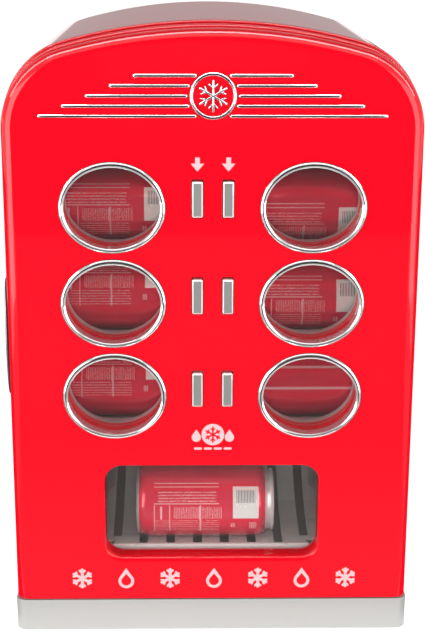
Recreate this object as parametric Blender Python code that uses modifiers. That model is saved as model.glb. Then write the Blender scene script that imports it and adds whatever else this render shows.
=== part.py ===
"""Counter-top can vending machine: an arched, insulated cabinet behind a swinging door with six can windows.

Lengths are in millimetres and the helpers turn them into metres. X runs to the right, Z up, and the door
faces -Y. A depth is counted backwards from the face of the door. Touching pieces keep GAP between them.
"""

from math import atan2, cos, pi, radians, sin, sqrt

import bmesh
import bpy
from mathutils import Matrix, Vector

MM = 0.001
GAP = 0.3
THROUGH = 2.0  # how far a cutter runs past the faces it cuts

# Whole machine
HALF_WIDTH = 172.5
HEIGHT = 525.0
DEPTH = 316.0
FACE_Y = -156.0
CROWN_RADIUS = 455.0
SHOULDER_RADIUS = 68.0

# Door: a front shell and a rear liner, closed over a slab of foam
DOOR_BOTTOM = 31.5
SHELL_HALF, SHELL_CREST, SHELL_DEPTH, SHELL_WALL = 170.0, 521.0, 23.0, 4.0
SHELL_EDGE_RADIUS = 10.0
LINER_HALF, LINER_CREST, LINER_WALL = 171.3, 523.0, 3.0
DOOR_DEPTH = 40.0
HINGE_X, HINGE_DEPTH = 166.0, 36.0
CABINET_FRONT = 43.5

# Can windows, in two columns and three rows
COLUMNS = {"left": -81.7, "right": 81.7}
ROWS = {"top": 378.8, "middle": 298.6, "bottom": 218.4}
WINDOW_A, WINDOW_B = 43.4, 37.7  # half axes of the bezel's outer edge
BEZEL_HOLE_INSET = 2.8
SLEEVE_WALL = 2.0
OVAL_STEPS = 24

# Buttons, two to a row between the windows
BUTTON_X = 12.5
BUTTON_HEIGHTS = {"top": 386.1, "middle": 305.2, "bottom": 224.7}
BUTTON_HALF = (4.35, 14.6)
STEM_HALF = (2.5, 4.0)
BUTTON_PROUD, STEM_END = 4.0, 44.5
WELL_HALF = (18.0, 17.5)

# Delivery opening and its clear flap; behind the sill the opening widens to let the chute's nose in
OPENING_HALF, OPENING_BOTTOM, OPENING_TOP, OPENING_CORNER = 91.5, 71.0, 155.4, 15.0
SILL_DEPTH, WIDE_HALF, WIDE_BOTTOM, WIDE_TOP, WIDE_CORNER = 17.5, 95.0, 59.0, 158.0, 12.0
FLAP_DEPTH, FLAP_THICK = 13.0, 2.5
FLAP_SHOULDER, FLAP_NECK_HALF, FLAP_NECK_CORNER = 135.0, 83.0, 8.0
FLAP_PIVOT = (14.25, 151.5)  # depth, height
FLAP_ROD_RADIUS, FLAP_ROD_HALF = 1.8, 89.5

# Door handle, in a finger recess on the left side
HANDLE_LOW, HANDLE_HIGH, HANDLE_BOW = 218.0, 318.0, 2.2
RECESS_DEPTHS = (9.0, 21.0)

# Hinges: z range of each knuckle, and which way its pin points
HINGES = {"bottom": (33.5, 45.0, 1), "top": (428.0, 440.0, -1)}
KNUCKLE_RADIUS, PIN_RADIUS, PIN_LENGTH = 4.5, 2.5, 12.0

# Cabinet
SKIN = 2.5
CABINET_BOTTOM = 31.0
CABINET_REAR = 314.0
ROOM_HALF, ROOM_CREST, ROOM_BOTTOM, ROOM_REAR = 147.0, 495.0, 57.0, 236.0
LINER_SKIN = 2.0
FOAM_REAR = 262.0

# Cans and what carries them
CAN_RADIUS, CAN_LENGTH = 33.0, 122.0
CAN_X, CAN_DEPTH, CAN_BELOW_WINDOW = 82.0, 78.0, 11.0
DELIVERED_CAN = (-6.0, 59.0, 100.4)  # x, depth, height
PIVOT_DEPTH, PIVOT_BELOW_CAN, PIVOT_RADIUS = 106.0, 37.0, 3.0
SHELF_THICK = 2.6
ARM_X = (10.0, 14.0)
SIDE_PLATE_X, CENTRE_PLATE_X, PLATE = 144.5, 16.0, 2.2
RACK_BOTTOM, RACK_TOP, RACK_REAR = 165.0, 440.0, 187.5

# Chute: its upper surface from the front lip to the back wall, as (depth, height)
CHUTE_LINE = [(23.9, 73.5), (24.2, 68.0), (40.0, 67.4), (59.0, 66.8), (85.0, 69.0), (112.0, 76.0),
              (138.0, 89.0), (160.0, 106.0), (176.0, 123.0), (185.0, 139.0)]
CHUTE_THICK, CHUTE_HALF, CHUTE_NOSE_HALF, NOSE_END = 2.4, 143.5, 86.0, 45.0
SLOT_WIDTH, SLOT_PITCH, SLOTS = 8.0, 24.1, 12

# Cooling unit behind the foam
COOLER_Z = 330.0
FAN_HALF, FAN_BORE, BLADES = 46.0, 43.5, 7

# Base
BASE_HALF, BASE_TOP, BASE_CLEAR, BASE_CORNER, BASE_WALL = 171.0, 30.5, 1.5, 8.0, 3.0
FOOT_RADIUS, FOOT_INSET = 12.0, 28.0

COLOURS = {  # colour, roughness, metallic
    "red_enamel": ((0.84, 0.010, 0.020), 0.25, 0.0),
    "grey_plastic": ((0.52, 0.52, 0.50), 0.45, 0.0),
    "silver_paint": ((0.62, 0.62, 0.60), 0.40, 0.3),
    "chrome": ((0.85, 0.85, 0.86), 0.08, 1.0),
    "clear_plastic": ((0.80, 0.82, 0.83), 0.05, 0.0),
    "aluminium": ((0.72, 0.73, 0.74), 0.30, 1.0),
    "steel": ((0.55, 0.55, 0.56), 0.35, 1.0),
    "foam": ((0.85, 0.80, 0.62), 0.90, 0.0),
    "rubber": ((0.03, 0.03, 0.03), 0.80, 0.0),
    "black_plastic": ((0.02, 0.02, 0.02), 0.50, 0.0),
    "ceramic": ((0.85, 0.85, 0.82), 0.60, 0.0),
    "can_red": ((0.62, 0.015, 0.020), 0.30, 0.4),
}


# ---------------------------------------------------------------- helpers

def depth(value):
    """The Y, in millimetres, of a depth behind the face of the door."""
    return FACE_Y + value


def clear_scene():
    for obj in list(bpy.data.objects):
        bpy.data.objects.remove(obj, do_unlink=True)


def new_collection(name):
    collection = bpy.data.collections.new(name)
    bpy.context.scene.collection.children.link(collection)
    return collection


def make_materials():
    for name, (colour, roughness, metallic) in COLOURS.items():
        material = bpy.data.materials.new(name)
        material.use_nodes = True
        shader = material.node_tree.nodes["Principled BSDF"]
        shader.inputs["Base Color"].default_value = (*colour, 1.0)
        shader.inputs["Roughness"].default_value = roughness
        shader.inputs["Metallic"].default_value = metallic


def link_mesh(name, bm, collection):
    bmesh.ops.recalc_face_normals(bm, faces=bm.faces)
    bm.transform(Matrix.Scale(MM, 4))
    mesh = bpy.data.meshes.new(name)
    bm.to_mesh(mesh)
    bm.free()
    obj = bpy.data.objects.new(name, mesh)
    collection.objects.link(obj)
    return obj


def part(name, bm, material, smooth=30.0):
    """A visible piece of the machine, from a bmesh in millimetres."""
    obj = link_mesh(name, bm, PARTS)
    obj.data.materials.append(bpy.data.materials[material])
    obj.data.shade_smooth()
    obj.data.set_sharp_from_angle(angle=radians(smooth))
    return obj


def tool(bm, name="tool"):
    """A hidden solid that only cuts or joins other pieces."""
    obj = link_mesh(name, bm, CUTTERS)
    obj.hide_render = True
    obj.display_type = "WIRE"
    return obj


def bundle(solids, name="tools"):
    """One hidden solid made of several that lie apart from each other."""
    whole = bmesh.new()
    for bm in solids:
        mesh = bpy.data.meshes.new("bundled")
        bmesh.ops.recalc_face_normals(bm, faces=bm.faces)
        bm.to_mesh(mesh)
        bm.free()
        whole.from_mesh(mesh)
        bpy.data.meshes.remove(mesh)
    return tool(whole, name)


def combine(obj, operation, tools):
    for other in tools:
        modifier = obj.modifiers.new(operation.lower(), "BOOLEAN")
        modifier.operation = operation
        modifier.solver = "EXACT"
        modifier.object = other
    return obj


def cut(obj, *tools):
    return combine(obj, "DIFFERENCE", tools)


def join(obj, *tools):
    return combine(obj, "UNION", tools)


def set_origin(obj, point):
    """Moves an object's origin to a point without moving its shape."""
    offset = Vector(point) * MM
    obj.data.transform(Matrix.Translation(-offset))
    obj.location = offset


def pivot(name, point):
    obj = bpy.data.objects.new(name, None)
    obj.location = Vector(point) * MM
    PARTS.objects.link(obj)
    return obj


def hang(obj, parent):
    """Parents a piece to a pivot and keeps it where it is."""
    obj.parent = parent
    obj.location -= parent.location
    return obj


def box(x, d, z):
    """A block from its x, depth and z ranges."""
    bm = bmesh.new()
    bmesh.ops.create_cube(bm, size=1.0)
    sizes = [span[1] - span[0] for span in (x, d, z)]
    middle = ((x[0] + x[1]) / 2, depth((d[0] + d[1]) / 2), (z[0] + z[1]) / 2)
    bm.transform(Matrix.Translation(middle) @ Matrix.Diagonal((*sizes, 1.0)))
    return bm


def rod(axis, middle, radius, length, steps=12, end_radius=None):
    """A cylinder or cone along X, Y or Z around middle, given as x, y and z."""
    bm = bmesh.new()
    bmesh.ops.create_cone(bm, cap_ends=True, segments=steps, radius1=radius,
                          radius2=radius if end_radius is None else end_radius, depth=length)
    turn = {"X": Matrix.Rotation(pi / 2, 4, "Y"), "Y": Matrix.Rotation(-pi / 2, 4, "X"), "Z": Matrix()}[axis]
    bm.transform(Matrix.Translation(middle) @ turn)
    return bm


def arc(centre, radius, start, end, steps):
    """Points of an arc, with its two ends, between angles in radians."""
    angles = [start + (end - start) * i / steps for i in range(steps + 1)]
    return [(centre[0] + radius * cos(a), centre[1] + radius * sin(a)) for a in angles]


def arch(half, crest, bottom, corner=6.0):
    """Outline in X and Z with straight sides, round shoulders and a shallow crown."""
    shoulder = SHOULDER_RADIUS - (HALF_WIDTH - half)
    crown = CROWN_RADIUS - (HEIGHT - crest)
    centre_x = half - shoulder
    centre_z = crest - crown + sqrt((crown - shoulder) ** 2 - centre_x ** 2)
    meet = atan2(centre_z - (crest - crown), centre_x)
    right = arc((half - corner, bottom + corner), corner, -pi / 2, 0.0, 2)
    right += arc((centre_x, centre_z), shoulder, 0.0, meet, 8)
    right += arc((0.0, crest - crown), crown, meet, pi / 2, 5)[1:]
    return right + [(-x, z) for x, z in reversed(right[:-1])]


def rounded(half, bottom, top, corner, steps=4):
    """Outline of a rectangle with round corners, in X and Z."""
    points = []
    for turn, (x, z) in enumerate([(1, -1), (1, 1), (-1, 1), (-1, -1)]):
        centre = (x * (half - corner), top - corner if z > 0 else bottom + corner)
        points += arc(centre, corner, (turn - 1) * pi / 2, turn * pi / 2, steps)
    return points


def oval(x, z, inset):
    """Outline of a window's oval, drawn in by inset along its normal."""
    points = []
    for i in range(OVAL_STEPS):
        t = 2 * pi * i / OVAL_STEPS
        normal = Vector((WINDOW_B * cos(t), WINDOW_A * sin(t))).normalized()
        points.append((x + WINDOW_A * cos(t) - inset * normal.x, z + WINDOW_B * sin(t) - inset * normal.y))
    return points


def prism(points, near, far):
    """A straight solid from an outline in X and Z, between two depths."""
    bm = bmesh.new()
    face = bm.faces.new([bm.verts.new((x, depth(near), z)) for x, z in points])
    grown = bmesh.ops.extrude_face_region(bm, geom=[face])
    moved = [item for item in grown["geom"] if isinstance(item, bmesh.types.BMVert)]
    bmesh.ops.translate(bm, verts=moved, vec=(0.0, far - near, 0.0))
    return bm


def side_prism(points, x0, x1):
    """A straight solid from an outline in depth and Z, between two X planes."""
    bm = bmesh.new()
    face = bm.faces.new([bm.verts.new((x0, depth(d), z)) for d, z in points])
    grown = bmesh.ops.extrude_face_region(bm, geom=[face])
    moved = [item for item in grown["geom"] if isinstance(item, bmesh.types.BMVert)]
    bmesh.ops.translate(bm, verts=moved, vec=(x1 - x0, 0.0, 0.0))
    return bm


def windows():
    """Every window as (name, x, z)."""
    return [(f"{side}_{row}", x, z) for side, x in COLUMNS.items() for row, z in ROWS.items()]


def sign(side):
    return -1.0 if side == "left" else 1.0


def spans(middle, half):
    return (middle - half, middle + half)


# ---------------------------------------------------------------- door

def door_sleeves(near, far, grow):
    """Solids that fill the walls round every opening through the door, grown a little for the foam."""
    solids = [prism(oval(x, z, BEZEL_HOLE_INSET - SLEEVE_WALL - grow), near, far) for _, x, z in windows()]
    edge = 3.0 + grow
    solids.append(prism(rounded(WIDE_HALF + edge, WIDE_BOTTOM - edge, WIDE_TOP + edge, WIDE_CORNER + edge),
                        near, far))
    wall = 2.0 + grow
    for z in BUTTON_HEIGHTS.values():
        solids.append(box(spans(0.0, WELL_HALF[0] + wall), (near, far), spans(z, WELL_HALF[1] + wall)))
    solids.append(box((-SHELL_HALF - THROUGH, -156.0 + grow), (near, far),
                      (HANDLE_LOW - grow, HANDLE_HIGH + grow)))
    for low, high, _ in HINGES.values():
        solids.append(box((153.0 - grow, LINER_HALF + THROUGH), (near, far), (low - 22.0, high + 20.0)))
    return [tool(bm, "sleeve") for bm in solids]


def door_openings():
    """Cutters that run right through the door: six windows and the delivery opening."""
    solids = [prism(oval(x, z, BEZEL_HOLE_INSET), -THROUGH, DOOR_DEPTH + THROUGH) for _, x, z in windows()]
    solids.append(prism(rounded(OPENING_HALF, OPENING_BOTTOM, OPENING_TOP, OPENING_CORNER),
                        -THROUGH, DOOR_DEPTH + THROUGH))
    solids.append(prism(rounded(WIDE_HALF, WIDE_BOTTOM, WIDE_TOP, WIDE_CORNER),
                        SILL_DEPTH, DOOR_DEPTH + THROUGH))
    return [tool(bm, "opening") for bm in solids]


def button_wells(near, far):
    return [tool(box(spans(0.0, WELL_HALF[0]), (near, far), spans(z, WELL_HALF[1])), "well")
            for z in BUTTON_HEIGHTS.values()]


def button_holes(half, near, far):
    clear = GAP + 0.05
    return [tool(box(spans(side * BUTTON_X, half[0] + clear), (near, far), spans(z, half[1] + clear)), "slot")
            for side in (-1, 1) for z in BUTTON_HEIGHTS.values()]


def make_door_shell(openings):
    bm = prism(arch(SHELL_HALF, SHELL_CREST, DOOR_BOTTOM), 0.0, SHELL_DEPTH)
    bm.edges.ensure_lookup_table()
    rim = [edge for edge in bm.edges if all(abs(v.co.y - depth(0.0)) < 1e-4 for v in edge.verts)]
    bmesh.ops.bevel(bm, geom=rim, offset=SHELL_EDGE_RADIUS, segments=4, profile=0.5, affect="EDGES")
    shell = part("door_shell", bm, "red_enamel")
    hollow = tool(prism(arch(SHELL_HALF - SHELL_WALL, SHELL_CREST - SHELL_WALL, DOOR_BOTTOM + SHELL_WALL),
                        SHELL_WALL, SHELL_DEPTH + THROUGH), "shell_hollow")
    cut(hollow, *door_sleeves(0.0, SHELL_DEPTH + 2 * THROUGH, 0.0))
    recess = tool(box((-SHELL_HALF - THROUGH, -160.0), RECESS_DEPTHS, (HANDLE_LOW + 5.0, HANDLE_HIGH - 5.0)),
                  "recess")
    rod_hole = tool(rod("X", (0.0, depth(FLAP_PIVOT[0]), FLAP_PIVOT[1]), FLAP_ROD_RADIUS + 0.5,
                        2 * FLAP_ROD_HALF + 2.0), "rod_hole")
    cut(shell, hollow, *openings, *button_wells(SHELL_WALL, SHELL_DEPTH + THROUGH),
        *button_holes(BUTTON_HALF, -THROUGH, SHELL_WALL + 1.0), recess, rod_hole)
    return shell


def make_door_liner(openings):
    near = SHELL_DEPTH + GAP
    liner = part("door_liner", prism(arch(LINER_HALF, LINER_CREST, DOOR_BOTTOM), near, DOOR_DEPTH),
                 "grey_plastic")
    hollow = tool(prism(arch(LINER_HALF - LINER_WALL, LINER_CREST - LINER_WALL, DOOR_BOTTOM + LINER_WALL),
                        near - THROUGH, DOOR_DEPTH - 2.5), "liner_hollow")
    cut(hollow, *door_sleeves(near - 2 * THROUGH, DOOR_DEPTH, 0.0))
    recesses = []
    for low, high, way in HINGES.values():
        recesses.append(tool(box((158.0, LINER_HALF + THROUGH), (28.0, DOOR_DEPTH + THROUGH),
                                 (low - 3.0, high + 1.0)), "hinge_recess"))
        end = high if way > 0 else low
        recesses.append(tool(rod("Z", (HINGE_X, depth(HINGE_DEPTH), end + way * PIN_LENGTH / 2),
                                 PIN_RADIUS + 0.5, PIN_LENGTH + 6.0), "pin_hole"))
    cut(liner, hollow, *openings, *button_wells(near - THROUGH, DOOR_DEPTH - 2.5),
        *button_holes(STEM_HALF, DOOR_DEPTH - 4.0, DOOR_DEPTH + THROUGH), *recesses)
    return liner


def make_door_foam():
    clear = 0.5
    foam = part("door_foam", prism(arch(SHELL_HALF - SHELL_WALL - clear, SHELL_CREST - SHELL_WALL - clear,
                                        DOOR_BOTTOM + SHELL_WALL + clear),
                                   SHELL_WALL + clear, DOOR_DEPTH - 2.5 - clear), "foam")
    return cut(foam, *door_sleeves(0.0, DOOR_DEPTH + THROUGH, 0.4))


def make_gasket():
    near, far = DOOR_DEPTH + GAP, CABINET_FRONT - GAP
    gasket = part("door_gasket", prism(arch(158.5, 508.0, 44.0), near, far), "rubber")
    return cut(gasket, tool(prism(arch(149.8, 499.3, 52.7), near - THROUGH, far + THROUGH), "gasket_hole"))


def make_bezel(name, x, z):
    """A ring with a thin outer ridge, a groove and a taller inner ridge, and a collar into the door."""
    section = [(0.0, -GAP), (0.3, -2.4), (1.5, -1.6), (2.6, -3.8), (4.3, -2.6), (4.3, 8.0), (3.1, 8.0),
               (3.1, -GAP)]  # inset from the outer edge, depth
    bm = bmesh.new()
    loops = [[bm.verts.new((px, depth(d), pz)) for px, pz in oval(x, z, inset)] for inset, d in section]
    for near, far in zip(loops, loops[1:] + loops[:1]):
        for i in range(OVAL_STEPS):
            j = (i + 1) % OVAL_STEPS
            bm.faces.new((near[i], near[j], far[j], far[i]))
    return part(f"window_bezel_{name}", bm, "chrome", 40.0)


def make_lens(name, x, z):
    return part(f"window_lens_{name}", prism(oval(x, z, 4.3 + GAP), 2.0, 4.5), "clear_plastic")


def make_button(side, row):
    x, z = sign(side) * BUTTON_X, BUTTON_HEIGHTS[row]
    bm = box(spans(x, BUTTON_HALF[0]), (-BUTTON_PROUD, 14.0), spans(z, BUTTON_HALF[1]))
    front = [e for e in bm.edges if all(abs(v.co.y - depth(-BUTTON_PROUD)) < 1e-4 for v in e.verts)]
    bmesh.ops.bevel(bm, geom=front, offset=1.6, segments=2, profile=0.5, affect="EDGES")
    button = part(f"button_{side}_{row}", bm, "chrome", 25.0)
    join(button, tool(box(spans(x, STEM_HALF[0]), (13.0, STEM_END), spans(z, STEM_HALF[1])), "stem"))
    set_origin(button, (x, depth(0.0), z))
    return button


def make_badge():
    """A winged streamline ornament: a centre diamond with five bars to each side, longest at the bottom."""
    near, far = -2.6, -GAP
    lens = [(0.0, 445.5), (9.0, 469.0), (0.0, 492.5), (-9.0, 469.0)]
    badge = part("badge", prism(lens, near, far), "chrome")
    bars = []
    for level in range(5):
        z, reach = 453.0 + 8.0 * level, 140.0 - 19.0 * level
        for side in (-1, 1):
            points = [(0.0, z - 1.3), (side * reach, z - 1.3), (side * (reach + 3.0), z + 1.3), (0.0, z + 1.3)]
            bars.append(tool(prism([(x - 0.5 * side, h) for x, h in points], near + 0.4, far - 0.1), "bar"))
    return join(badge, *bars)


def make_handle():
    """A shallow bow over the finger recess, standing HANDLE_BOW out from the side of the door."""
    inner = -SHELL_HALF - GAP
    middle, half = (HANDLE_LOW + HANDLE_HIGH) / 2, (HANDLE_HIGH - HANDLE_LOW) / 2
    steps = 12
    outline = [(inner, HANDLE_LOW), (inner, HANDLE_HIGH)]
    for i in range(steps + 1):
        t = 1.0 - 2.0 * i / steps
        outline.append((inner - 0.8 - (HANDLE_BOW - 0.8) * (1.0 - t * t), middle + half * t))
    return part("door_handle", prism(outline, 8.5, 14.5), "chrome", 40.0)


def make_flap():
    """A plate with a narrower neck round its rod, so that it swings out clear of the opening's round corners."""
    clear = 0.8
    near, far = FLAP_DEPTH, FLAP_DEPTH + FLAP_THICK
    flap = part("delivery_flap", prism(rounded(OPENING_HALF - clear, OPENING_BOTTOM + clear, FLAP_SHOULDER,
                                               OPENING_CORNER - clear), near, far), "clear_plastic")
    neck = rounded(FLAP_NECK_HALF, OPENING_BOTTOM + OPENING_CORNER, OPENING_TOP - clear, FLAP_NECK_CORNER)
    point = (0.0, depth(FLAP_PIVOT[0]), FLAP_PIVOT[1])
    join(flap, tool(prism(neck, near, far), "flap_neck"),
         tool(rod("X", point, FLAP_ROD_RADIUS, 2 * FLAP_ROD_HALF), "flap_rod"))
    set_origin(flap, point)
    return flap


def make_door():
    hinge = pivot("door_pivot", (HINGE_X, depth(HINGE_DEPTH), 0.0))
    openings = door_openings()
    pieces = [make_door_shell(openings), make_door_liner(openings), make_door_foam(), make_gasket(),
              make_badge(), make_handle(), make_flap()]
    for name, x, z in windows():
        pieces += [make_bezel(name, x, z), make_lens(name, x, z)]
    pieces += [make_button(side, row) for side in COLUMNS for row in ROWS]
    for piece in pieces:
        hang(piece, hinge)


# ---------------------------------------------------------------- cabinet

def make_hinge_bracket(end):
    low, high, way = HINGES[end]
    bracket = part(f"hinge_bracket_{end}",
                   rod("Z", (HINGE_X, depth(HINGE_DEPTH), (low + high) / 2), KNUCKLE_RADIUS, high - low, 16),
                   "steel")
    arm = tool(box(spans(HINGE_X, 4.0), (HINGE_DEPTH, CABINET_FRONT - GAP), (low + 0.5, high - 0.5)), "arm")
    tip = high if way > 0 else low
    pin = tool(rod("Z", (HINGE_X, depth(HINGE_DEPTH), tip + way * (PIN_LENGTH - 2.0) / 2),
                   PIN_RADIUS, PIN_LENGTH + 2.0), "pin")
    return join(bracket, arm, pin)


def make_cabinet_shell():
    shell = part("cabinet_shell", prism(arch(HALF_WIDTH, HEIGHT, CABINET_BOTTOM), CABINET_FRONT, CABINET_REAR),
                 "red_enamel")
    return cut(shell, tool(prism(arch(HALF_WIDTH - SKIN, HEIGHT - SKIN, CABINET_BOTTOM + SKIN, 4.0),
                                 CABINET_FRONT - THROUGH, CABINET_REAR + THROUGH), "cabinet_hollow"))


def make_cabinet_foam():
    near = CABINET_FRONT + 2.5
    inset = SKIN + GAP
    foam = part("cabinet_insulation", prism(arch(HALF_WIDTH - inset, HEIGHT - inset, CABINET_BOTTOM + inset, 4.0),
                                            near, FOAM_REAR), "foam")
    skin = LINER_SKIN + GAP
    room = tool(prism(arch(ROOM_HALF + skin, ROOM_CREST + skin, ROOM_BOTTOM - skin),
                      near - THROUGH, ROOM_REAR + skin), "foam_room")
    duct = tool(box(spans(0.0, 24.0), (ROOM_REAR - 5.0, FOAM_REAR + THROUGH), spans(COOLER_Z, 24.0)), "duct")
    return cut(foam, room, duct)


def make_cabinet_liner():
    inset = SKIN + GAP
    flange = prism(arch(HALF_WIDTH - inset, HEIGHT - inset, CABINET_BOTTOM + inset, 4.0),
                   CABINET_FRONT, CABINET_FRONT + LINER_SKIN)
    liner = part("cabinet_liner", flange, "grey_plastic")
    join(liner, tool(prism(arch(ROOM_HALF + LINER_SKIN, ROOM_CREST + LINER_SKIN, ROOM_BOTTOM - LINER_SKIN),
                           CABINET_FRONT + 0.5, ROOM_REAR + LINER_SKIN), "room_skin"))
    room = tool(prism(arch(ROOM_HALF, ROOM_CREST, ROOM_BOTTOM), CABINET_FRONT - THROUGH, ROOM_REAR), "room")
    duct = tool(box(spans(0.0, 24.0), (ROOM_REAR - 5.0, ROOM_REAR + 10.0), spans(COOLER_Z, 24.0)), "liner_duct")
    return cut(liner, room, duct)


def make_rear_cover():
    cover = part("rear_cover", prism(arch(HALF_WIDTH - 2.0, HEIGHT - 2.0, CABINET_BOTTOM + 2.0),
                                     CABINET_REAR + GAP, DEPTH), "black_plastic")
    near, far = CABINET_REAR - THROUGH, DEPTH + THROUGH
    holes = [box((92.0, 144.0), (near, far), (58.0, 92.0))]
    for i in range(-4, 5):  # grille over the fan, inside a circle
        reach = sqrt(FAN_BORE ** 2 - (9.6 * i) ** 2)
        middle = COOLER_Z + 9.6 * i
        holes.append(prism(rounded(reach, middle - 2.6, middle + 2.6, 2.0, 3), near, far))
    for level in range(6):  # air inlets below it
        middle = 120.0 + 12.0 * level
        holes.append(prism(rounded(60.0, middle - 2.5, middle + 2.5, 2.0, 3), near, far))
    return cut(cover, bundle(holes, "vents"))


def make_cooler():
    """Cold plate and block, thermoelectric module, finned heat sink and fan, front to back."""
    plate = part("cold_plate", box(spans(0.0, 60.0), (ROOM_REAR - 6.3, ROOM_REAR - 0.3), spans(COOLER_Z, 60.0)),
                 "aluminium")
    join(plate, tool(box(spans(0.0, 23.0), (ROOM_REAR - 4.0, 258.0), spans(COOLER_Z, 23.0)), "cold_block"))
    part("thermoelectric_module", box(spans(0.0, 20.0), (258.3, 262.3), spans(COOLER_Z, 20.0)), "ceramic")

    sink = part("heat_sink", box(spans(0.0, 50.0), (262.6, 268.0), spans(COOLER_Z, 45.0)), "aluminium")
    fins = [box(spans(-48.0 + 8.0 * i, 0.9), (267.0, 289.0), spans(COOLER_Z, 44.5)) for i in range(13)]
    join(sink, bundle(fins, "fins"))

    frame = part("fan_frame", box(spans(0.0, FAN_HALF), (289.5, 313.0), spans(COOLER_Z, FAN_HALF)),
                 "black_plastic")
    bore = tool(rod("Y", (0.0, depth(301.0), COOLER_Z), FAN_BORE, 40.0, 32), "fan_bore")
    arms = [tool(box(spans(0.0, half[0]), (310.4, 312.7), spans(COOLER_Z, half[1])), "fan_arm")
            for half in ((44.5, 2.5), (2.5, 44.5))]
    hub = tool(rod("Y", (0.0, depth(311.5), COOLER_Z), 14.0, 2.6, 20), "fan_hub")
    cut(frame, bore)
    join(frame, hub, *arms)

    rotor = part("fan_rotor", rod("Y", (0.0, depth(301.0), COOLER_Z), 15.0, 16.0, 20), "black_plastic")
    blades = []
    for i in range(BLADES):
        blade = bmesh.new()
        bmesh.ops.create_cube(blade, size=1.0)
        blade.transform(Matrix.Translation((0.0, depth(301.0), COOLER_Z))
                        @ Matrix.Rotation(2 * pi * i / BLADES, 4, "Y") @ Matrix.Translation((27.5, 0.0, 0.0))
                        @ Matrix.Rotation(radians(38.0), 4, "X") @ Matrix.Diagonal((28.0, 1.6, 19.0, 1.0)))
        blades.append(tool(blade, "blade"))
    join(rotor, *blades)
    set_origin(rotor, (0.0, depth(301.0), COOLER_Z))


def make_power_module():
    """A moulded block with a two-pin socket beside the recess of the mode rocker."""
    block = part("power_inlet", box((92.4, 143.6), (296.0, DEPTH - 0.2), (58.4, 91.6)), "black_plastic")
    socket = tool(prism([(x + 107.0, z) for x, z in rounded(9.0, 70.6, 79.4, 4.2)], 303.0, DEPTH + THROUGH),
                  "socket")
    recess = tool(box((123.5, 138.5), (305.0, DEPTH + THROUGH), (63.5, 86.5)), "rocker_recess")
    pins = [tool(rod("Y", (x, depth(307.0), 75.0), 1.2, 10.0, 8), "socket_pin") for x in (103.0, 111.0)]
    cut(block, socket, recess)
    join(block, *pins)
    outline = [(308.0, 66.5), (312.6, 64.6), (315.4, 65.4), (313.9, 75.0), (315.4, 84.6), (312.6, 85.4),
               (308.0, 83.5)]
    rocker = part("mode_switch", side_prism(outline, 124.0, 138.0), "rubber")
    set_origin(rocker, (131.0, depth(311.0), 75.0))


def make_base():
    near, far = 0.0, CABINET_REAR
    middle, half_depth = (near + far) / 2, (far - near) / 2

    def ring(inset, low, high):
        outline = rounded(BASE_HALF - inset, middle - half_depth + inset, middle + half_depth - inset,
                          BASE_CORNER - inset / 2)
        bm = bmesh.new()
        face = bm.faces.new([bm.verts.new((x, depth(d), low)) for x, d in outline])
        grown = bmesh.ops.extrude_face_region(bm, geom=[face])
        moved = [item for item in grown["geom"] if isinstance(item, bmesh.types.BMVert)]
        bmesh.ops.translate(bm, verts=moved, vec=(0.0, 0.0, high - low))
        return bm

    bm = ring(0.0, BASE_CLEAR, BASE_TOP)
    rim = [e for e in bm.edges if all(abs(v.co.z - BASE_CLEAR) < 1e-4 for v in e.verts)]
    bmesh.ops.bevel(bm, geom=rim, offset=1.5, segments=2, profile=0.5, affect="EDGES")
    skirt = part("base_skirt", bm, "silver_paint")
    cut(skirt, tool(ring(BASE_WALL, BASE_CLEAR - THROUGH, BASE_TOP + THROUGH), "skirt_hole"))
    part("base_pan", ring(BASE_WALL + 0.5, 26.5, BASE_TOP), "black_plastic")
    for side, x in (("left", -1), ("right", 1)):
        for end, d in (("front", near + FOOT_INSET), ("rear", far - FOOT_INSET)):
            part(f"foot_{end}_{side}", rod("Z", (x * (BASE_HALF - FOOT_INSET), depth(d), 13.1), FOOT_RADIUS, 26.2,
                                           20, FOOT_RADIUS + 2.0), "rubber")


def make_cabinet():
    make_cabinet_shell()
    make_cabinet_foam()
    make_cabinet_liner()
    make_rear_cover()
    make_cooler()
    make_power_module()
    make_base()
    for end in HINGES:
        make_hinge_bracket(end)


# ---------------------------------------------------------------- cans and their mechanism

def can_height(row):
    return ROWS[row] - CAN_BELOW_WINDOW


def make_can(name, x, d, z):
    """A drinks can lying along X: a turned profile with necked ends and a sunk lid and base."""
    half = CAN_LENGTH / 2
    profile = [(0.0, half - 4.0), (23.5, half - 4.0), (26.0, half), (27.2, half - 1.5), (CAN_RADIUS, half - 12.0),
               (CAN_RADIUS, 9.0 - half), (25.0, 0.6 - half), (22.0, 0.6 - half), (0.0, 6.0 - half)]
    bm = bmesh.new()
    verts = [bm.verts.new((radius, 0.0, height)) for radius, height in profile]
    for a, b in zip(verts, verts[1:]):
        bm.edges.new((a, b))
    can = link_mesh(name, bm, PARTS)
    can.data.materials.append(bpy.data.materials["can_red"])
    screw = can.modifiers.new("turn", "SCREW")
    screw.axis = "Z"
    screw.steps = screw.render_steps = 20
    screw.use_merge_vertices = True
    screw.merge_threshold = 0.00001
    screw.use_smooth_shade = True
    can.rotation_euler = (0.0, pi / 2, 0.0)
    can.location = Vector((x, depth(d), z)) * MM
    return can


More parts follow.
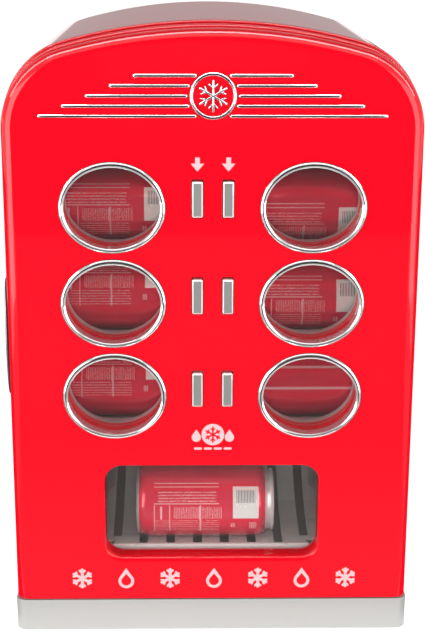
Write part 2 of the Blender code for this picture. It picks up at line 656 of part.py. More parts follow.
def make_tilt_shelf(side, row):
    """A shelf pivoted at its rear edge; the button's stem pushes its arm and tips it back."""
    way, z = sign(side), can_height(row)
    pivot_z, button_z = z - PIVOT_BELOW_CAN, BUTTON_HEIGHTS[row]
    top = z - CAN_RADIUS - 0.4
    near_x, far_x = sorted((way * 21.5, way * 142.0))
    shelf = part(f"tilt_shelf_{side}_{row}", box((near_x, far_x), (49.0, 107.0), (top - SHELF_THICK, top)),
                 "grey_plastic")
    lip = box((near_x, far_x), (49.0, 52.0), (top - 1.0, top + 7.0))
    axle_x = sorted((way * (ARM_X[0] - 1.0), way * (SIDE_PLATE_X + 1.5)))
    axle = rod("X", ((axle_x[0] + axle_x[1]) / 2, depth(PIVOT_DEPTH), pivot_z), PIVOT_RADIUS,
               axle_x[1] - axle_x[0])
    arm = side_prism([(STEM_END + 0.6, button_z - 6.0), (50.0, button_z - 6.0), (102.0, pivot_z - 4.0),
                      (110.0, pivot_z - 4.0), (110.0, pivot_z + 4.0), (51.0, button_z + 6.0),
                      (STEM_END + 0.6, button_z + 6.0)], way * ARM_X[0], way * ARM_X[1])
    join(shelf, tool(lip, "lip"), tool(axle, "axle"), tool(arm, "arm"))
    set_origin(shelf, (0.0, depth(PIVOT_DEPTH), pivot_z))
    return shelf


def make_rack():
    """Side and centre plates that carry the shelves' axles, tied by the back wall of the drop shaft."""
    back = box(spans(0.0, SIDE_PLATE_X + PLATE), (RACK_REAR, RACK_REAR + PLATE), (RACK_BOTTOM - 22.0, RACK_TOP))
    rack = part("can_rack", back, "grey_plastic")
    plates, holes = [], []
    for way in (-1, 1):
        for x, near in ((SIDE_PLATE_X, 56.0), (CENTRE_PLATE_X, 62.0)):
            span = sorted((way * x, way * (x + PLATE)))
            plates.append(tool(box(span, (near, RACK_REAR + 1.0), (RACK_BOTTOM, RACK_TOP)), "plate"))
        for row in ROWS:
            centre = (way * (SIDE_PLATE_X + CENTRE_PLATE_X) / 2, depth(PIVOT_DEPTH), can_height(row) - PIVOT_BELOW_CAN)
            holes.append(tool(rod("X", centre, PIVOT_RADIUS + 0.5, SIDE_PLATE_X - CENTRE_PLATE_X + 12.0), "axle_hole"))
    roof = tool(box(spans(0.0, SIDE_PLATE_X + PLATE), (62.0, RACK_REAR + 1.0), (RACK_TOP - PLATE, RACK_TOP)), "roof")
    join(rack, *plates, roof)
    return cut(rack, *holes)


def make_chute():
    """A slotted J-shaped slide from under the drop shaft to the lip in the delivery opening."""
    under = [(d, z - CHUTE_THICK) for d, z in CHUTE_LINE[1:]]
    outline = [(CHUTE_LINE[0][0] - CHUTE_THICK, CHUTE_LINE[0][1])] + CHUTE_LINE + under[::-1]
    outline.append((CHUTE_LINE[0][0] - CHUTE_THICK, under[0][1]))
    chute = part("delivery_chute", side_prism(outline, -CHUTE_HALF, CHUTE_HALF), "grey_plastic")
    cutters = []
    for way in (-1, 1):
        span = sorted((way * CHUTE_NOSE_HALF, way * (CHUTE_HALF + THROUGH)))
        cutters.append(box(span, (0.0, NOSE_END), (50.0, 90.0)))
    for i in range(SLOTS):
        x = SLOT_PITCH * (i - (SLOTS - 1) / 2)
        near = 28.0 if abs(x) < CHUTE_NOSE_HALF - SLOT_WIDTH else NOSE_END + 7.0
        cutters.append(box(spans(x, SLOT_WIDTH / 2), (near, 168.0), (50.0, 200.0)))
    return cut(chute, bundle(cutters, "slots"))


def make_mechanism():
    make_rack()
    make_chute()
    for side in COLUMNS:
        for row in ROWS:
            z = can_height(row)
            hinge = pivot(f"shelf_pivot_{side}_{row}", (0.0, depth(PIVOT_DEPTH), z - PIVOT_BELOW_CAN))
            hang(make_tilt_shelf(side, row), hinge)
            hang(make_can(f"can_{side}_{row}", sign(side) * CAN_X, CAN_DEPTH, z), hinge)
    make_can("can_delivered", *DELIVERED_CAN)


clear_scene()
make_materials()
PARTS = new_collection("can_vending_machine")
CUTTERS = new_collection("cutters")
make_door()
make_cabinet()
make_mechanism()
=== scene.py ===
"""Looks of the counter-top can vending machine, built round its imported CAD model.

Lengths are in millimetres and the helpers turn them into metres. X runs to the right, Z up, and the door
faces -Y. A depth is counted backwards from the face of the door.
"""

from math import asin, atan2, cos, hypot, pi, radians, sin, sqrt, tan

import bmesh
import bpy
from mathutils import Matrix, Vector


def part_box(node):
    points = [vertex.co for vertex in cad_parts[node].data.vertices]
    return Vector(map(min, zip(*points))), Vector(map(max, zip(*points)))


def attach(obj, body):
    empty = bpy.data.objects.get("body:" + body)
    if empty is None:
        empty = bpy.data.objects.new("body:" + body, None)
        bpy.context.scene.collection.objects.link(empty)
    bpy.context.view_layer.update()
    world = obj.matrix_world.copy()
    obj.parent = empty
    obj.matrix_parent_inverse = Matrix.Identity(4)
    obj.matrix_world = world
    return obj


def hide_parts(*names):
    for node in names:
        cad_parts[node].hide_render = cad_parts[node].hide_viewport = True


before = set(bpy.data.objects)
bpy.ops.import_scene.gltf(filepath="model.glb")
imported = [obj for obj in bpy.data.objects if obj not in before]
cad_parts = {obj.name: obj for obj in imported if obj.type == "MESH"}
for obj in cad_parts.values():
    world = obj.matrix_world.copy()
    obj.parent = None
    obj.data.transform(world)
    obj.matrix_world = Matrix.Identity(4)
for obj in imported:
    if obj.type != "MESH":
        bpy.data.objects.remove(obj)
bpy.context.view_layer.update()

MM = 0.001
THROUGH = 2.0  # how far a cutter runs past the faces it cuts

SIDES = ("left", "right")
ROWS = ("top", "middle", "bottom")
PLACES = [f"{side}_{row}" for side in SIDES for row in ROWS]


def corners(node):
    """A CAD node's lowest and highest corner, in millimetres."""
    low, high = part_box(node)
    return low / MM, high / MM


def middle(node):
    """The centre of a CAD node's box, in millimetres."""
    low, high = corners(node)
    return (low + high) / 2


FACE_Y = corners("door_shell")[0].y


def depth(value):
    """The Y, in millimetres, of a depth behind the face of the door."""
    return FACE_Y + value


def depths(node):
    """The nearest and farthest depth of a CAD node."""
    low, high = corners(node)
    return low.y - FACE_Y, high.y - FACE_Y


# Every outline has round shoulders and a shallow crown
CROWN_RADIUS, SHOULDER_RADIUS = 455.0, 68.0


def arch_of(node):
    """A CAD node's outline as (half width, crest, bottom)."""
    low, high = corners(node)
    return high.x, high.z, low.z


CABINET, DOOR, RIM = arch_of("cabinet_shell"), arch_of("door_shell"), arch_of("door_liner")
HALF_WIDTH, HEIGHT = CABINET[:2]

# Walls and depths of the door
SHELL_WALL, RIM_WALL, PANEL_WALL, SLEEVE_WALL = 4.0, 3.0, 2.5, 2.0
FACE_FILLET, FACE_FILLET_STEPS = 10.0, 14
FACE_FOOT_CORNER, FOOT_SHARE = 2.5, 0.03  # the face's lower edge is nearly sharp
SHELL_DEPTH = depths("door_shell")[1]
RIM_DEPTH, DOOR_DEPTH = depths("door_liner")

# Windows: centres and half axes of the bezels' outer edges, and how far in a hole and a lens lie
WINDOWS = {place: middle(f"window_bezel_{place}") for place in PLACES}
BEZEL_LOW, BEZEL_HIGH = corners("window_bezel_left_top")
WINDOW_A, WINDOW_B = (BEZEL_HIGH.x - BEZEL_LOW.x) / 2, (BEZEL_HIGH.z - BEZEL_LOW.z) / 2
BEZEL_HOLE_INSET, LENS_INSET = 2.8, 4.6
TUNNEL_RED_DEPTH = 30.0  # where the red lining of a window's tunnel ends

# Delivery opening, and the wider room behind its sill
OPENING_HALF, OPENING_BOTTOM, OPENING_TOP, OPENING_CORNER = 91.5, 71.0, 155.4, 15.0
OPENING_SIDE_FLARE, OPENING_SILL_FLARE, OPENING_FLARE_DEPTH = 1.3, 6.5, 8.0
SILL_DEPTH = 17.5
WIDE_HALF, WIDE_BOTTOM, WIDE_TOP, WIDE_CORNER = 95.0, 59.0, 158.0, 12.0
WIDE_WALL = 3.0
FLAP_ROD_DEPTH, FLAP_ROD_DROP = 14.25, 3.1  # the rod's axis, from the door's face and from the flap's top

# Buttons, the pockets they stand in and the wells behind them
BUTTON_HALF, POCKET_HALF, WELL_HALF = (4.35, 14.6), (4.95, 16.1), (18.0, 17.5)
POCKET_DEPTH, POCKET_CORNER, WELL_DEPTH = 6.0, 1.8, 8.0

# Cans: (distance, radius) of the base and of the heel above it, and of the lid counted from the other end
CAN_RADIUS, CAN_LENGTH, CAN_STEPS = 33.0, 122.0, 64
CAN_BASE = ((10.5, 0.0), (9.8, 8.0), (7.6, 15.0), (3.4, 22.4), (0.7, 25.2), (0.0, 26.6), (0.4, 28.0),
            (2.6, 30.2))
CAN_HEEL = ((3.6, 31.0), (5.8, 32.2), (8.6, 32.85), (12.5, CAN_RADIUS))
CAN_LID = ((2.6, 27.3), (0.8, 27.5), (0.1, 27.0), (0.1, 26.4), (1.2, 25.9), (6.4, 24.4), (6.9, 23.6),
           (6.2, 22.6), (5.9, 8.0), (5.9, 0.0))
CAN_ROLLS = {"delivered": 0.0, "left_top": -7.0, "left_middle": 31.0, "left_bottom": 27.0,
             "right_top": -37.0, "right_middle": -7.0, "right_bottom": 150.0}  # degrees

# Camera
CAMERA_PLACE = (-0.0196, -1.2676, 0.6027)
CAMERA_YAW, CAMERA_PITCH, CAMERA_ROLL = radians(1.008), radians(15.835), radians(0.189)
CAMERA_LENS = 79.46


# ---- materials

def feed(tree, target, value):
    """Wire another node's socket into an input, or set the input to a constant."""
    if isinstance(value, bpy.types.NodeSocket):
        tree.links.new(value, target)
    else:
        target.default_value = value


def add(tree, kind, inputs=(), **settings):
    """A new node with its settings, and its inputs as constants or other nodes' sockets."""
    made = tree.nodes.new(kind)
    for key, value in settings.items():
        setattr(made, key, value)
    for key, value in dict(inputs).items():
        feed(tree, made.inputs[key], value)
    return made


def calculate(tree, operation, *values):
    """A Math node on sockets or numbers, as its output socket."""
    return add(tree, "ShaderNodeMath", enumerate(values), operation=operation).outputs[0]


def noise(tree, coordinate, scale, detail, stretch):
    """Noise of a given number of features a metre, as its 0 to 1 output socket."""
    place = add(tree, "ShaderNodeMapping", {"Scale": stretch, "Vector": coordinate}).outputs["Vector"]
    return add(tree, "ShaderNodeTexNoise", {"Scale": scale, "Detail": detail,
                                            "Vector": place}).outputs["Fac"]


def spread(tree, value, low, high, start=0.0, end=1.0):
    """A value from start to end moved to run from low to high."""
    return add(tree, "ShaderNodeMapRange", {"Value": value, "From Min": start, "From Max": end,
                                            "To Min": low, "To Max": high}).outputs["Result"]


def axis_of(tree, vector, axis):
    """One axis of a vector socket, as its output socket."""
    return add(tree, "ShaderNodeSeparateXYZ", {"Vector": vector}).outputs[axis]


def texture_axis(tree, kind, axis):
    """One axis of a texture coordinate, as its output socket."""
    return axis_of(tree, add(tree, "ShaderNodeTexCoord").outputs[kind], axis)


# The Mix node has one A and one B for each kind of value, all with the same name
def colour_mix(tree, factor, first, second):
    made = add(tree, "ShaderNodeMix", data_type="RGBA")
    named = {socket.identifier: socket for socket in made.inputs}
    for key, value in (("Factor_Float", factor), ("A_Color", first), ("B_Color", second)):
        feed(tree, named[key], (*value, 1.0) if isinstance(value, tuple) else value)
    return next(socket for socket in made.outputs if socket.identifier == "Result_Color")


def surface(name, colour, roughness, metallic=0.0, coat=0.0, tone=0.06, wobble=0.05, grain=900.0,
            bump=0.0, stretch=(1.0, 1.0, 1.0), mottle=9.0, specular=0.5):
    """A plastic, paint or metal with faint mottling, uneven gloss and a fine grain.

    tone is how far the mottling darkens the colour, wobble how far the roughness varies, grain the bumps a
    metre and bump their height in millimetres.
    """
    made = bpy.data.materials.new(name)
    made.use_nodes = True
    tree = made.node_tree
    shader = tree.nodes["Principled BSDF"]
    coordinate = add(tree, "ShaderNodeTexCoord").outputs["Object"]
    patches = noise(tree, coordinate, mottle, 4.0, stretch)
    darker = tuple(channel * (1.0 - tone) for channel in colour)
    fine = noise(tree, coordinate, grain, 2.0, stretch)
    if bump:
        relief = add(tree, "ShaderNodeBump", {"Distance": bump * MM, "Height": fine})
        feed(tree, shader.inputs["Normal"], relief.outputs["Normal"])
    for key, value in (("Base Color", colour_mix(tree, patches, colour, darker)),
                       ("Roughness", spread(tree, fine, roughness - wobble, roughness + wobble)),
                       ("Metallic", metallic), ("Specular IOR Level", specular),
                       ("Coat Weight", coat), ("Coat Roughness", 0.05)):
        feed(tree, shader.inputs[key], value)
    return made


def clear_plastic(name, veil):
    """Acrylic that lets light straight through, under a faint grey veil, with polished faces."""
    made = surface(name, (0.50, 0.50, 0.49), 0.06, tone=0.08, wobble=0.02, grain=120.0, mottle=14.0,
                   specular=0.4)
    made.node_tree.nodes["Principled BSDF"].inputs["Alpha"].default_value = veil
    return made


def inside(tree, value, low, high):
    """1 where a value lies between low and high, else 0."""
    return calculate(tree, "COMPARE", value, (low + high) / 2, (high - low) / 2)


def label_paint(name):
    """Red lacquer over aluminium with plain pale print: rules, dashes, a ruled table and a barred block."""
    made = surface(name, (0.76, 0.010, 0.055), 0.26, metallic=0.30, coat=1.0, tone=0.10, wobble=0.04,
                   grain=700.0, mottle=30.0, specular=0.6)
    tree = made.node_tree
    shader = tree.nodes["Principled BSDF"]
    paint = shader.inputs["Base Color"].links[0].from_socket
    wrap = add(tree, "ShaderNodeUVMap", uv_map="wrap").outputs["UV"]
    along, around = axis_of(tree, wrap, "X"), axis_of(tree, wrap, "Y")
    print_strength = 0.60

    def both(first, second):
        return calculate(tree, "MULTIPLY", first, second)

    def either(values):
        total = values[0]
        for value in values[1:]:
            total = calculate(tree, "MAXIMUM", total, value)
        return total

    def patch(u, v):
        return both(inside(tree, along, *u), inside(tree, around, *v))

    def repeated(value, pitch, share):
        """Stripes across a value, each filling a share of the pitch."""
        wave = calculate(tree, "FRACT", calculate(tree, "DIVIDE", value, pitch))
        return calculate(tree, "LESS_THAN", wave, share)

    speckle = noise(tree, wrap, 1.0, 1.0, (95.0, 260.0, 1.0))
    broken = calculate(tree, "GREATER_THAN", speckle, 0.47)
    rules = [patch((0.13, 0.60), (v, v + 0.004)) for v in (0.628, 0.612, 0.540)]
    dashes = both(patch((0.16, 0.58), (0.550, 0.600)), both(repeated(around, 0.0125, 0.42), broken))
    ticks = [patch((u, u + width), (0.40, 0.535))
             for u, width in ((0.13, 0.006), (0.24, 0.007), (0.46, 0.010))]
    heavy = [patch((u, u + 0.014), (0.47, 0.530)) for u in (0.175, 0.455)]
    columns = both(patch((0.27, 0.62), (0.475, 0.528)), both(repeated(along, 0.0125, 0.5), broken))
    foot = both(patch((0.13, 0.60), (0.405, 0.465)), both(repeated(around, 0.011, 0.30), broken))
    marks = [patch((0.82, 0.87), (0.415, 0.455)), patch((0.68, 0.72), (0.425, 0.450))]
    marks = both(either(marks), repeated(along, 0.016, 0.6))
    back = both(patch((0.10, 0.88), (0.02, 0.20)), repeated(around, 0.09, 0.12))
    print_mask = either([*rules, *ticks, *heavy, columns, dashes, foot, marks, back])
    printed = colour_mix(tree, both(print_mask, print_strength), paint, (0.92, 0.72, 0.70))
    block = patch((0.70, 0.885), (0.475, 0.615))
    bars = both(patch((0.725, 0.86), (0.545, 0.600)), repeated(along, 0.011, 0.42))
    blocked = colour_mix(tree, block, printed, (0.80, 0.79, 0.74))
    feed(tree, shader.inputs["Base Color"], colour_mix(tree, bars, blocked, (0.10, 0.10, 0.10)))
    return made


RED = surface("red_enamel", (0.80, 0.003, 0.013), 0.40, coat=1.0, tone=0.03, wobble=0.04, grain=420.0,
              bump=0.001, mottle=5.0, specular=0.0)
RED_PLASTIC = surface("red_plastic", (0.74, 0.006, 0.020), 0.55, tone=0.05, bump=0.004)
PRINT = surface("printed_ink", (0.80, 0.45, 0.47), 0.45, tone=0.04, grain=1500.0, bump=0.004, mottle=60.0)
CHROME = surface("chrome", (0.86, 0.86, 0.87), 0.06, metallic=1.0, tone=0.04, wobble=0.02, grain=60.0,
                 mottle=20.0)
BEZEL = surface("bezel_chrome", (0.92, 0.92, 0.91), 0.07, metallic=0.78, tone=0.04, wobble=0.02, grain=60.0,
                mottle=20.0)
# Black for the groove and the outer foot of each bezel: painted shade
GROOVE_SHADE = surface("groove_painted_shade", (0.010, 0.010, 0.010), 0.70, tone=0.20, grain=300.0, specular=0.05)
BEVEL = surface("bright_bevel", (0.93, 0.93, 0.91), 0.22, metallic=0.55, tone=0.04, wobble=0.04, grain=300.0)
SATIN = surface("satin_metal", (0.36, 0.37, 0.355), 0.42, metallic=0.5, tone=0.08, wobble=0.08, grain=500.0,
                bump=0.004, stretch=(1.0, 1.0, 0.04))
GREY = surface("grey_plastic", (0.50, 0.50, 0.48), 0.45, tone=0.08, wobble=0.06, grain=1400.0, bump=0.012)
SILVER = surface("silver_paint", (0.455, 0.46, 0.445), 0.42, metallic=0.25, coat=0.2, tone=0.04, wobble=0.06,
                 grain=2200.0, bump=0.006)
ALUMINIUM = surface("aluminium", (0.74, 0.75, 0.76), 0.30, metallic=1.0, tone=0.10, wobble=0.08, grain=700.0,
                    bump=0.004, stretch=(1.0, 1.0, 0.06))
STEEL = surface("zinc_plated_steel", (0.56, 0.56, 0.55), 0.34, metallic=1.0, tone=0.18, wobble=0.10,
                grain=260.0, bump=0.004, mottle=120.0)
PALE_GREY = surface("pale_grey_plastic", (0.74, 0.74, 0.71), 0.42, wobble=0.06, grain=1400.0, bump=0.008)
FOAM = surface("insulation_foam", (0.82, 0.76, 0.56), 0.90, tone=0.16, grain=1100.0, bump=0.15, mottle=60.0)
RUBBER = surface("black_rubber", (0.025, 0.025, 0.026), 0.70, tone=0.25, wobble=0.10, bump=0.02)
BLACK = surface("black_plastic", (0.022, 0.022, 0.023), 0.50, tone=0.20, wobble=0.08, grain=1600.0,
                bump=0.02)
CERAMIC = surface("ceramic", (0.84, 0.84, 0.80), 0.60, grain=1200.0, bump=0.01)
CAN_METAL = surface("can_aluminium", (0.84, 0.84, 0.82), 0.34, metallic=0.65, wobble=0.06, grain=500.0,
                    bump=0.002)
LENS = clear_plastic("window_acrylic", 0.018)
FLAP = clear_plastic("flap_acrylic", 0.03)
FLAP_EDGE = clear_plastic("flap_edge", 0.45)
LABEL = label_paint("printed_can")


# ---- shapes

def arc(centre, radius, start, end, steps):
    """Points of an arc, with its two ends, between angles in radians."""
    angles = [start + (end - start) * i / steps for i in range(steps + 1)]
    return [(centre[0] + radius * cos(a), centre[1] + radius * sin(a)) for a in angles]


def circle(centre, radius, steps):
    return arc(centre, radius, 0.0, 2 * pi, steps)[:-1]


def quarter(steps):
    """Angles from zero to a right one."""
    return [pi / 2 * i / steps for i in range(steps + 1)]


def arch(shape, inset=0.0, corner=6.0, foot=1.0):
    """Outline in X and Z with straight sides, round shoulders and a shallow crown, drawn in by inset.

    foot is the share of the inset that the bottom edge takes.
    """
    half, crest, bottom = shape[0] - inset, shape[1] - inset, shape[2] + foot * inset
    shoulder = SHOULDER_RADIUS - (HALF_WIDTH - half)
    crown = CROWN_RADIUS - (HEIGHT - crest)
    centre_x = half - shoulder
    centre_z = crest - crown + sqrt((crown - shoulder) ** 2 - centre_x ** 2)
    meet = atan2(centre_z - (crest - crown), centre_x)
    corner = max(corner - inset, 0.6)
    right = arc((half - corner, bottom + corner), corner, -pi / 2, 0.0, 4)
    right += arc((centre_x, centre_z), shoulder, 0.0, meet, 24)
    right += arc((0.0, crest - crown), crown, meet, pi / 2, 20)[1:]
    return right + [(-x, z) for x, z in reversed(right[:-1])]


def rounded(half, bottom, top, corner, x=0.0, steps=8):
    """Outline of a rectangle with round corners, in X and Z."""
    points = []
    for turn, (way, up) in enumerate([(1, -1), (1, 1), (-1, 1), (-1, -1)]):
        centre = (x + way * (half - corner), top - corner if up > 0 else bottom + corner)
        points += arc(centre, corner, (turn - 1) * pi / 2, turn * pi / 2, steps)
    return points


def round_about(at, half, inset, corner, steps):
    """Outline of a rectangle with round corners about a point, drawn in by inset."""
    half_x, half_z = half[0] - inset, half[1] - inset
    return rounded(half_x, at.z - half_z, at.z + half_z, corner, at.x, steps)


def oval(place, inset):
    """Outline of a window, drawn in by inset along its normal."""
    centre = WINDOWS[place]
    points = []
    for x, z in circle((0.0, 0.0), 1.0, 80):
        shift = -inset * Vector((WINDOW_B * x, WINDOW_A * z)).normalized()
        points.append((centre.x + WINDOW_A * x + shift.x, centre.z + WINDOW_B * z + shift.y))
    return points


def skin(rings, ring_closed=False):
    """A closed solid through rings of points: capped at both ends, or joined end to end."""
    bm = bmesh.new()
    loops = [[bm.verts.new(point) for point in ring] for ring in rings]
    for near, far in zip(loops, loops[1:] + (loops[:1] if ring_closed else [])):
        for i in range(len(near)):
            j = (i + 1) % len(near)
            bm.faces.new((near[i], near[j], far[j], far[i]))
    if not ring_closed:
        bm.faces.new(loops[0])
        bm.faces.new(loops[-1])
    bmesh.ops.recalc_face_normals(bm, faces=bm.faces)
    return bm


def plate(outline, section, ring_closed=False):
    """A solid from an outline that is drawn in by an inset at each depth of the section."""
    rings = [[(x, depth(d), z) for x, z in outline(inset)] for inset, d in section]
    return skin(rings, ring_closed)


def prism(points, near, far):
    return plate(lambda inset: points, [(0.0, near), (0.0, far)])


def round_edge(radius, face, way, steps):
    """Section points of a rounded edge, from the flat face at one depth to the side; way is +1 or -1."""
    return [(radius * (1 - sin(a)), face + way * radius * (1 - cos(a))) for a in quarter(steps)]


def slab(radius, near, far, steps):
    """Section of a plate whose two edges are rounded."""
    return round_edge(radius, near, 1, steps) + round_edge(radius, far, -1, steps)[::-1]


def box(x, d, z):
    """A block from its x, depth and z ranges."""
    bm = bmesh.new()
    bmesh.ops.create_cube(bm, size=1.0)
    sizes = [span[1] - span[0] for span in (x, d, z)]
    centre = ((x[0] + x[1]) / 2, depth((d[0] + d[1]) / 2), (z[0] + z[1]) / 2)
    bm.transform(Matrix.Translation(centre) @ Matrix.Diagonal((*sizes, 1.0)))
    return bm


def spans(centre, half):
    return (centre - half, centre + half)


def rod(centre, radius, length):
    """A cylinder along X."""
    bm = bmesh.new()
    bmesh.ops.create_cone(bm, cap_ends=True, segments=24, radius1=radius, radius2=radius, depth=length)
    bm.transform(Matrix.Translation(centre) @ Matrix.Rotation(pi / 2, 4, "Y"))
    return bm


def merged(shapes):
    """Several solids in one mesh."""
    whole = bmesh.new()
    for bm in shapes:
        mesh = bpy.data.meshes.new("merged")
        bm.to_mesh(mesh)
        bm.free()
        whole.from_mesh(mesh)
        bpy.data.meshes.remove(mesh)
    return whole


def boolean(bm, others, operation="DIFFERENCE"):
    """The solid that is left when the others are cut from bm, or joined to it."""
    scratch = []
    for shape in (bm, *others):
        mesh = bpy.data.meshes.new("scratch")
        shape.to_mesh(mesh)
        shape.free()
        scratch.append(bpy.data.objects.new("scratch", mesh))
        bpy.context.scene.collection.objects.link(scratch[-1])
    for other in scratch[1:]:
        modifier = scratch[0].modifiers.new("boolean", "BOOLEAN")
        modifier.operation = operation
        modifier.solver = "EXACT"
        modifier.object = other
    bpy.context.view_layer.update()
    result = bmesh.new()
    result.from_object(scratch[0], bpy.context.evaluated_depsgraph_get())
    for obj in scratch:
        mesh = obj.data
        bpy.data.objects.remove(obj)
        bpy.data.meshes.remove(mesh)
    return result


def bead(path, width, height, back, joined=False):
    """A half-round strip along a path in X and Z, with round ends unless the path is joined into a loop."""
    count, across = len(path), 10
    stations = []
    for i, point in enumerate(path):
        before = path[i - 1] if joined or i else point
        after = path[(i + 1) % count] if joined or i < count - 1 else point
        run = Vector((after[0] - before[0], after[1] - before[1])).normalized()
        stations.append((Vector(point), run, 1.0))
    if not joined:
        tips = [(u, sqrt(1 - u * u)) for u in (0.5, 0.8, 0.97)]
        start, run, _ = stations[0]
        front = [(start - run * u * width / 2, run, size) for u, size in reversed(tips)]
        end, run, _ = stations[-1]
        stations = front + stations + [(end + run * u * width / 2, run, size) for u, size in tips]
    rings = []
    for centre, run, size in stations:
        side = Vector((run.y, -run.x))
        ring = []
        for k in range(across + 1):
            a = pi * k / across
            spot = centre + side * (size * width / 2 * cos(a))
            ring.append((spot.x, depth(back - size * height * sin(a)), spot.y))
        rings.append(ring)
    return skin(rings, joined)


# ---- pieces

def piece(name, bm, body, materials, replaces=(), crease=32.0, weighted=True):
    """A shown piece from a bmesh in millimetres. It rides on a body and may stand for CAD nodes."""
    bm.transform(Matrix.Scale(MM, 4))
    mesh = bpy.data.meshes.new(name)
    bm.to_mesh(mesh)
    bm.free()
    for material in materials:
        mesh.materials.append(material)
    mesh.shade_smooth()
    mesh.set_sharp_from_angle(angle=radians(crease))
    obj = bpy.data.objects.new(name, mesh)
    bpy.context.scene.collection.objects.link(obj)
    if weighted:
        normals = obj.modifiers.new("normals", "WEIGHTED_NORMAL")
        normals.keep_sharp = True
    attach(obj, body)
    if replaces:
        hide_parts(*replaces)


def flared_opening():
    """Cutter of the delivery opening: its mouth widens at the sides and rolls down over the sill."""
    bluntness = 0.7
    stations = []
    for a in quarter(10):
        share = 1 - sin(a) ** bluntness
        side, sill = OPENING_SIDE_FLARE * share, OPENING_SILL_FLARE * share
        outline = rounded(OPENING_HALF + side, OPENING_BOTTOM - sill, OPENING_TOP + side,
                          OPENING_CORNER + side)
        stations.append((OPENING_FLARE_DEPTH * (1 - cos(a) ** bluntness), outline))
    stations = [(-THROUGH, stations[0][1]), *stations, (SHELL_DEPTH + THROUGH, stations[-1][1])]
    return skin([[(x, depth(d), z) for x, z in outline] for d, outline in stations])


def wide_room(near, far, wall=0.0):
    """The room behind the delivery opening's sill, grown by a wall."""
    outline = rounded(WIDE_HALF + wall, WIDE_BOTTOM - wall, WIDE_TOP + wall, WIDE_CORNER + wall)
    return prism(outline, near, far)


def button_wells(near, far, wall=0.0):
    """The wells behind the pairs of buttons, grown by a wall."""
    return [box(spans(0.0, WELL_HALF[0] + wall), (near, far),
                spans(middle(f"button_left_{row}").z, WELL_HALF[1] + wall)) for row in ROWS]


def flap_rod(radius, length):
    """The flap's hinge rod, or the hole that it turns in."""
    place = (middle("delivery_flap").x, depth(FLAP_ROD_DEPTH), corners("delivery_flap")[1].z - FLAP_ROD_DROP)
    return rod(place, radius, length)


def door_sleeves(near, far):
    """Solids that leave walls round every opening through the door."""
    solids = [prism(oval(place, BEZEL_HOLE_INSET - SLEEVE_WALL), near, far) for place in PLACES]
    return [*solids, wide_room(near, far, WIDE_WALL), *button_wells(near, far, SLEEVE_WALL)]


HANDLE_LOW, HANDLE_HIGH = corners("door_handle")[0].z, corners("door_handle")[1].z
HANDLE_SEAT = 5.0  # how far each end of the handle overlaps the door beyond its recess
RECESS_FLOOR_X, RECESS_DEPTHS = -160.0, (9.0, 21.0)
HINGES = ("bottom", "top")


def hinge_pockets():
    """Room in the door's rear edge for the hinge brackets."""
    left, front, clear = 158.0, 28.0, 3.5
    pockets = []
    for end in HINGES:
        low, high = corners(f"hinge_bracket_{end}")
        pockets.append(box((left, RIM[0] + THROUGH), (front, DOOR_DEPTH + THROUGH),
                           (low.z - clear, high.z + clear)))
    return pockets


def off_oval(spot, place, inset=0.0):
    """How far outside a window's oval, drawn in by inset, a point lies, as a share of its half axes."""
    centre = WINDOWS[place]
    return hypot((spot.x - centre.x) / (WINDOW_A - inset), (spot.z - centre.z) / (WINDOW_B - inset)) - 1.0


def button_slots():
    """Cutters of the close-fitting slots that the buttons slide in."""
    clear = 0.35
    return [prism(round_about(middle(f"button_{place}"), BUTTON_HALF, -clear, 1.2, 3),
                  -THROUGH, WELL_DEPTH + 1.0) for place in PLACES]


def button_pockets():
    """Cutters of the pocket round each button, whose mouth has a small round lip."""
    lip = 0.4
    section = [(-lip, -THROUGH)] + [(-i, d) for i, d in round_edge(lip, 0.0, 1, 3)] + [(0.0, POCKET_DEPTH)]
    pockets = []
    for place in PLACES:
        at = middle(f"button_{place}")
        pockets.append(plate(lambda inset: round_about(at, POCKET_HALF, inset, POCKET_CORNER - inset, 5),
                             section))
    return pockets


def make_door_front():
    """The glossy front shell, hollow behind, with its windows, slots, opening and finger recess."""
    rear_edge, behind = 0.5, SHELL_DEPTH + THROUGH
    section = round_edge(FACE_FILLET, 0.0, 1, FACE_FILLET_STEPS)
    section += round_edge(rear_edge, SHELL_DEPTH, -1, 2)[::-1]
    shell = plate(lambda inset: arch(DOOR, inset, FACE_FOOT_CORNER, FOOT_SHARE), section)
    hollow = plate(lambda inset: arch(DOOR, inset + SHELL_WALL), [(0.0, SHELL_WALL), (0.0, behind)])
    handle_block = box((-DOOR[0] - THROUGH, RECESS_FLOOR_X + SHELL_WALL), (0.0, behind + THROUGH),
                       (HANDLE_LOW - 8.0, HANDLE_HIGH + 8.0))
    hollow = boolean(hollow, [merged([*door_sleeves(0.0, behind + THROUGH), handle_block])])
    cutters = [flared_opening(), *button_wells(WELL_DEPTH, behind)]
    cutters += [prism(oval(place, BEZEL_HOLE_INSET), -THROUGH, behind) for place in PLACES]
    cutters.append(box((-DOOR[0] - THROUGH, RECESS_FLOOR_X), RECESS_DEPTHS,
                       (HANDLE_LOW + HANDLE_SEAT, HANDLE_HIGH - HANDLE_SEAT)))
    shell = boolean(shell, [hollow, merged(cutters), merged(button_pockets()), merged(button_slots()),
                            wide_room(SILL_DEPTH, behind), flap_rod(2.4, 181.0)])
    piece("door_front", shell, "door", [RED], ["door_shell"])


def make_door_rim():
    """The red frame behind the front shell."""
    front_edge, rear_edge = 2.8, 1.0
    section = [(RIM_WALL, RIM_DEPTH)] + round_edge(front_edge, RIM_DEPTH, 1, 5)
    section += round_edge(rear_edge, DOOR_DEPTH, -1, 3)[::-1] + [(RIM_WALL, DOOR_DEPTH)]
    rim = boolean(plate(lambda inset: arch(RIM, inset), section, True), [merged(hinge_pockets())])
    piece("door_rim", rim, "door", [RED])


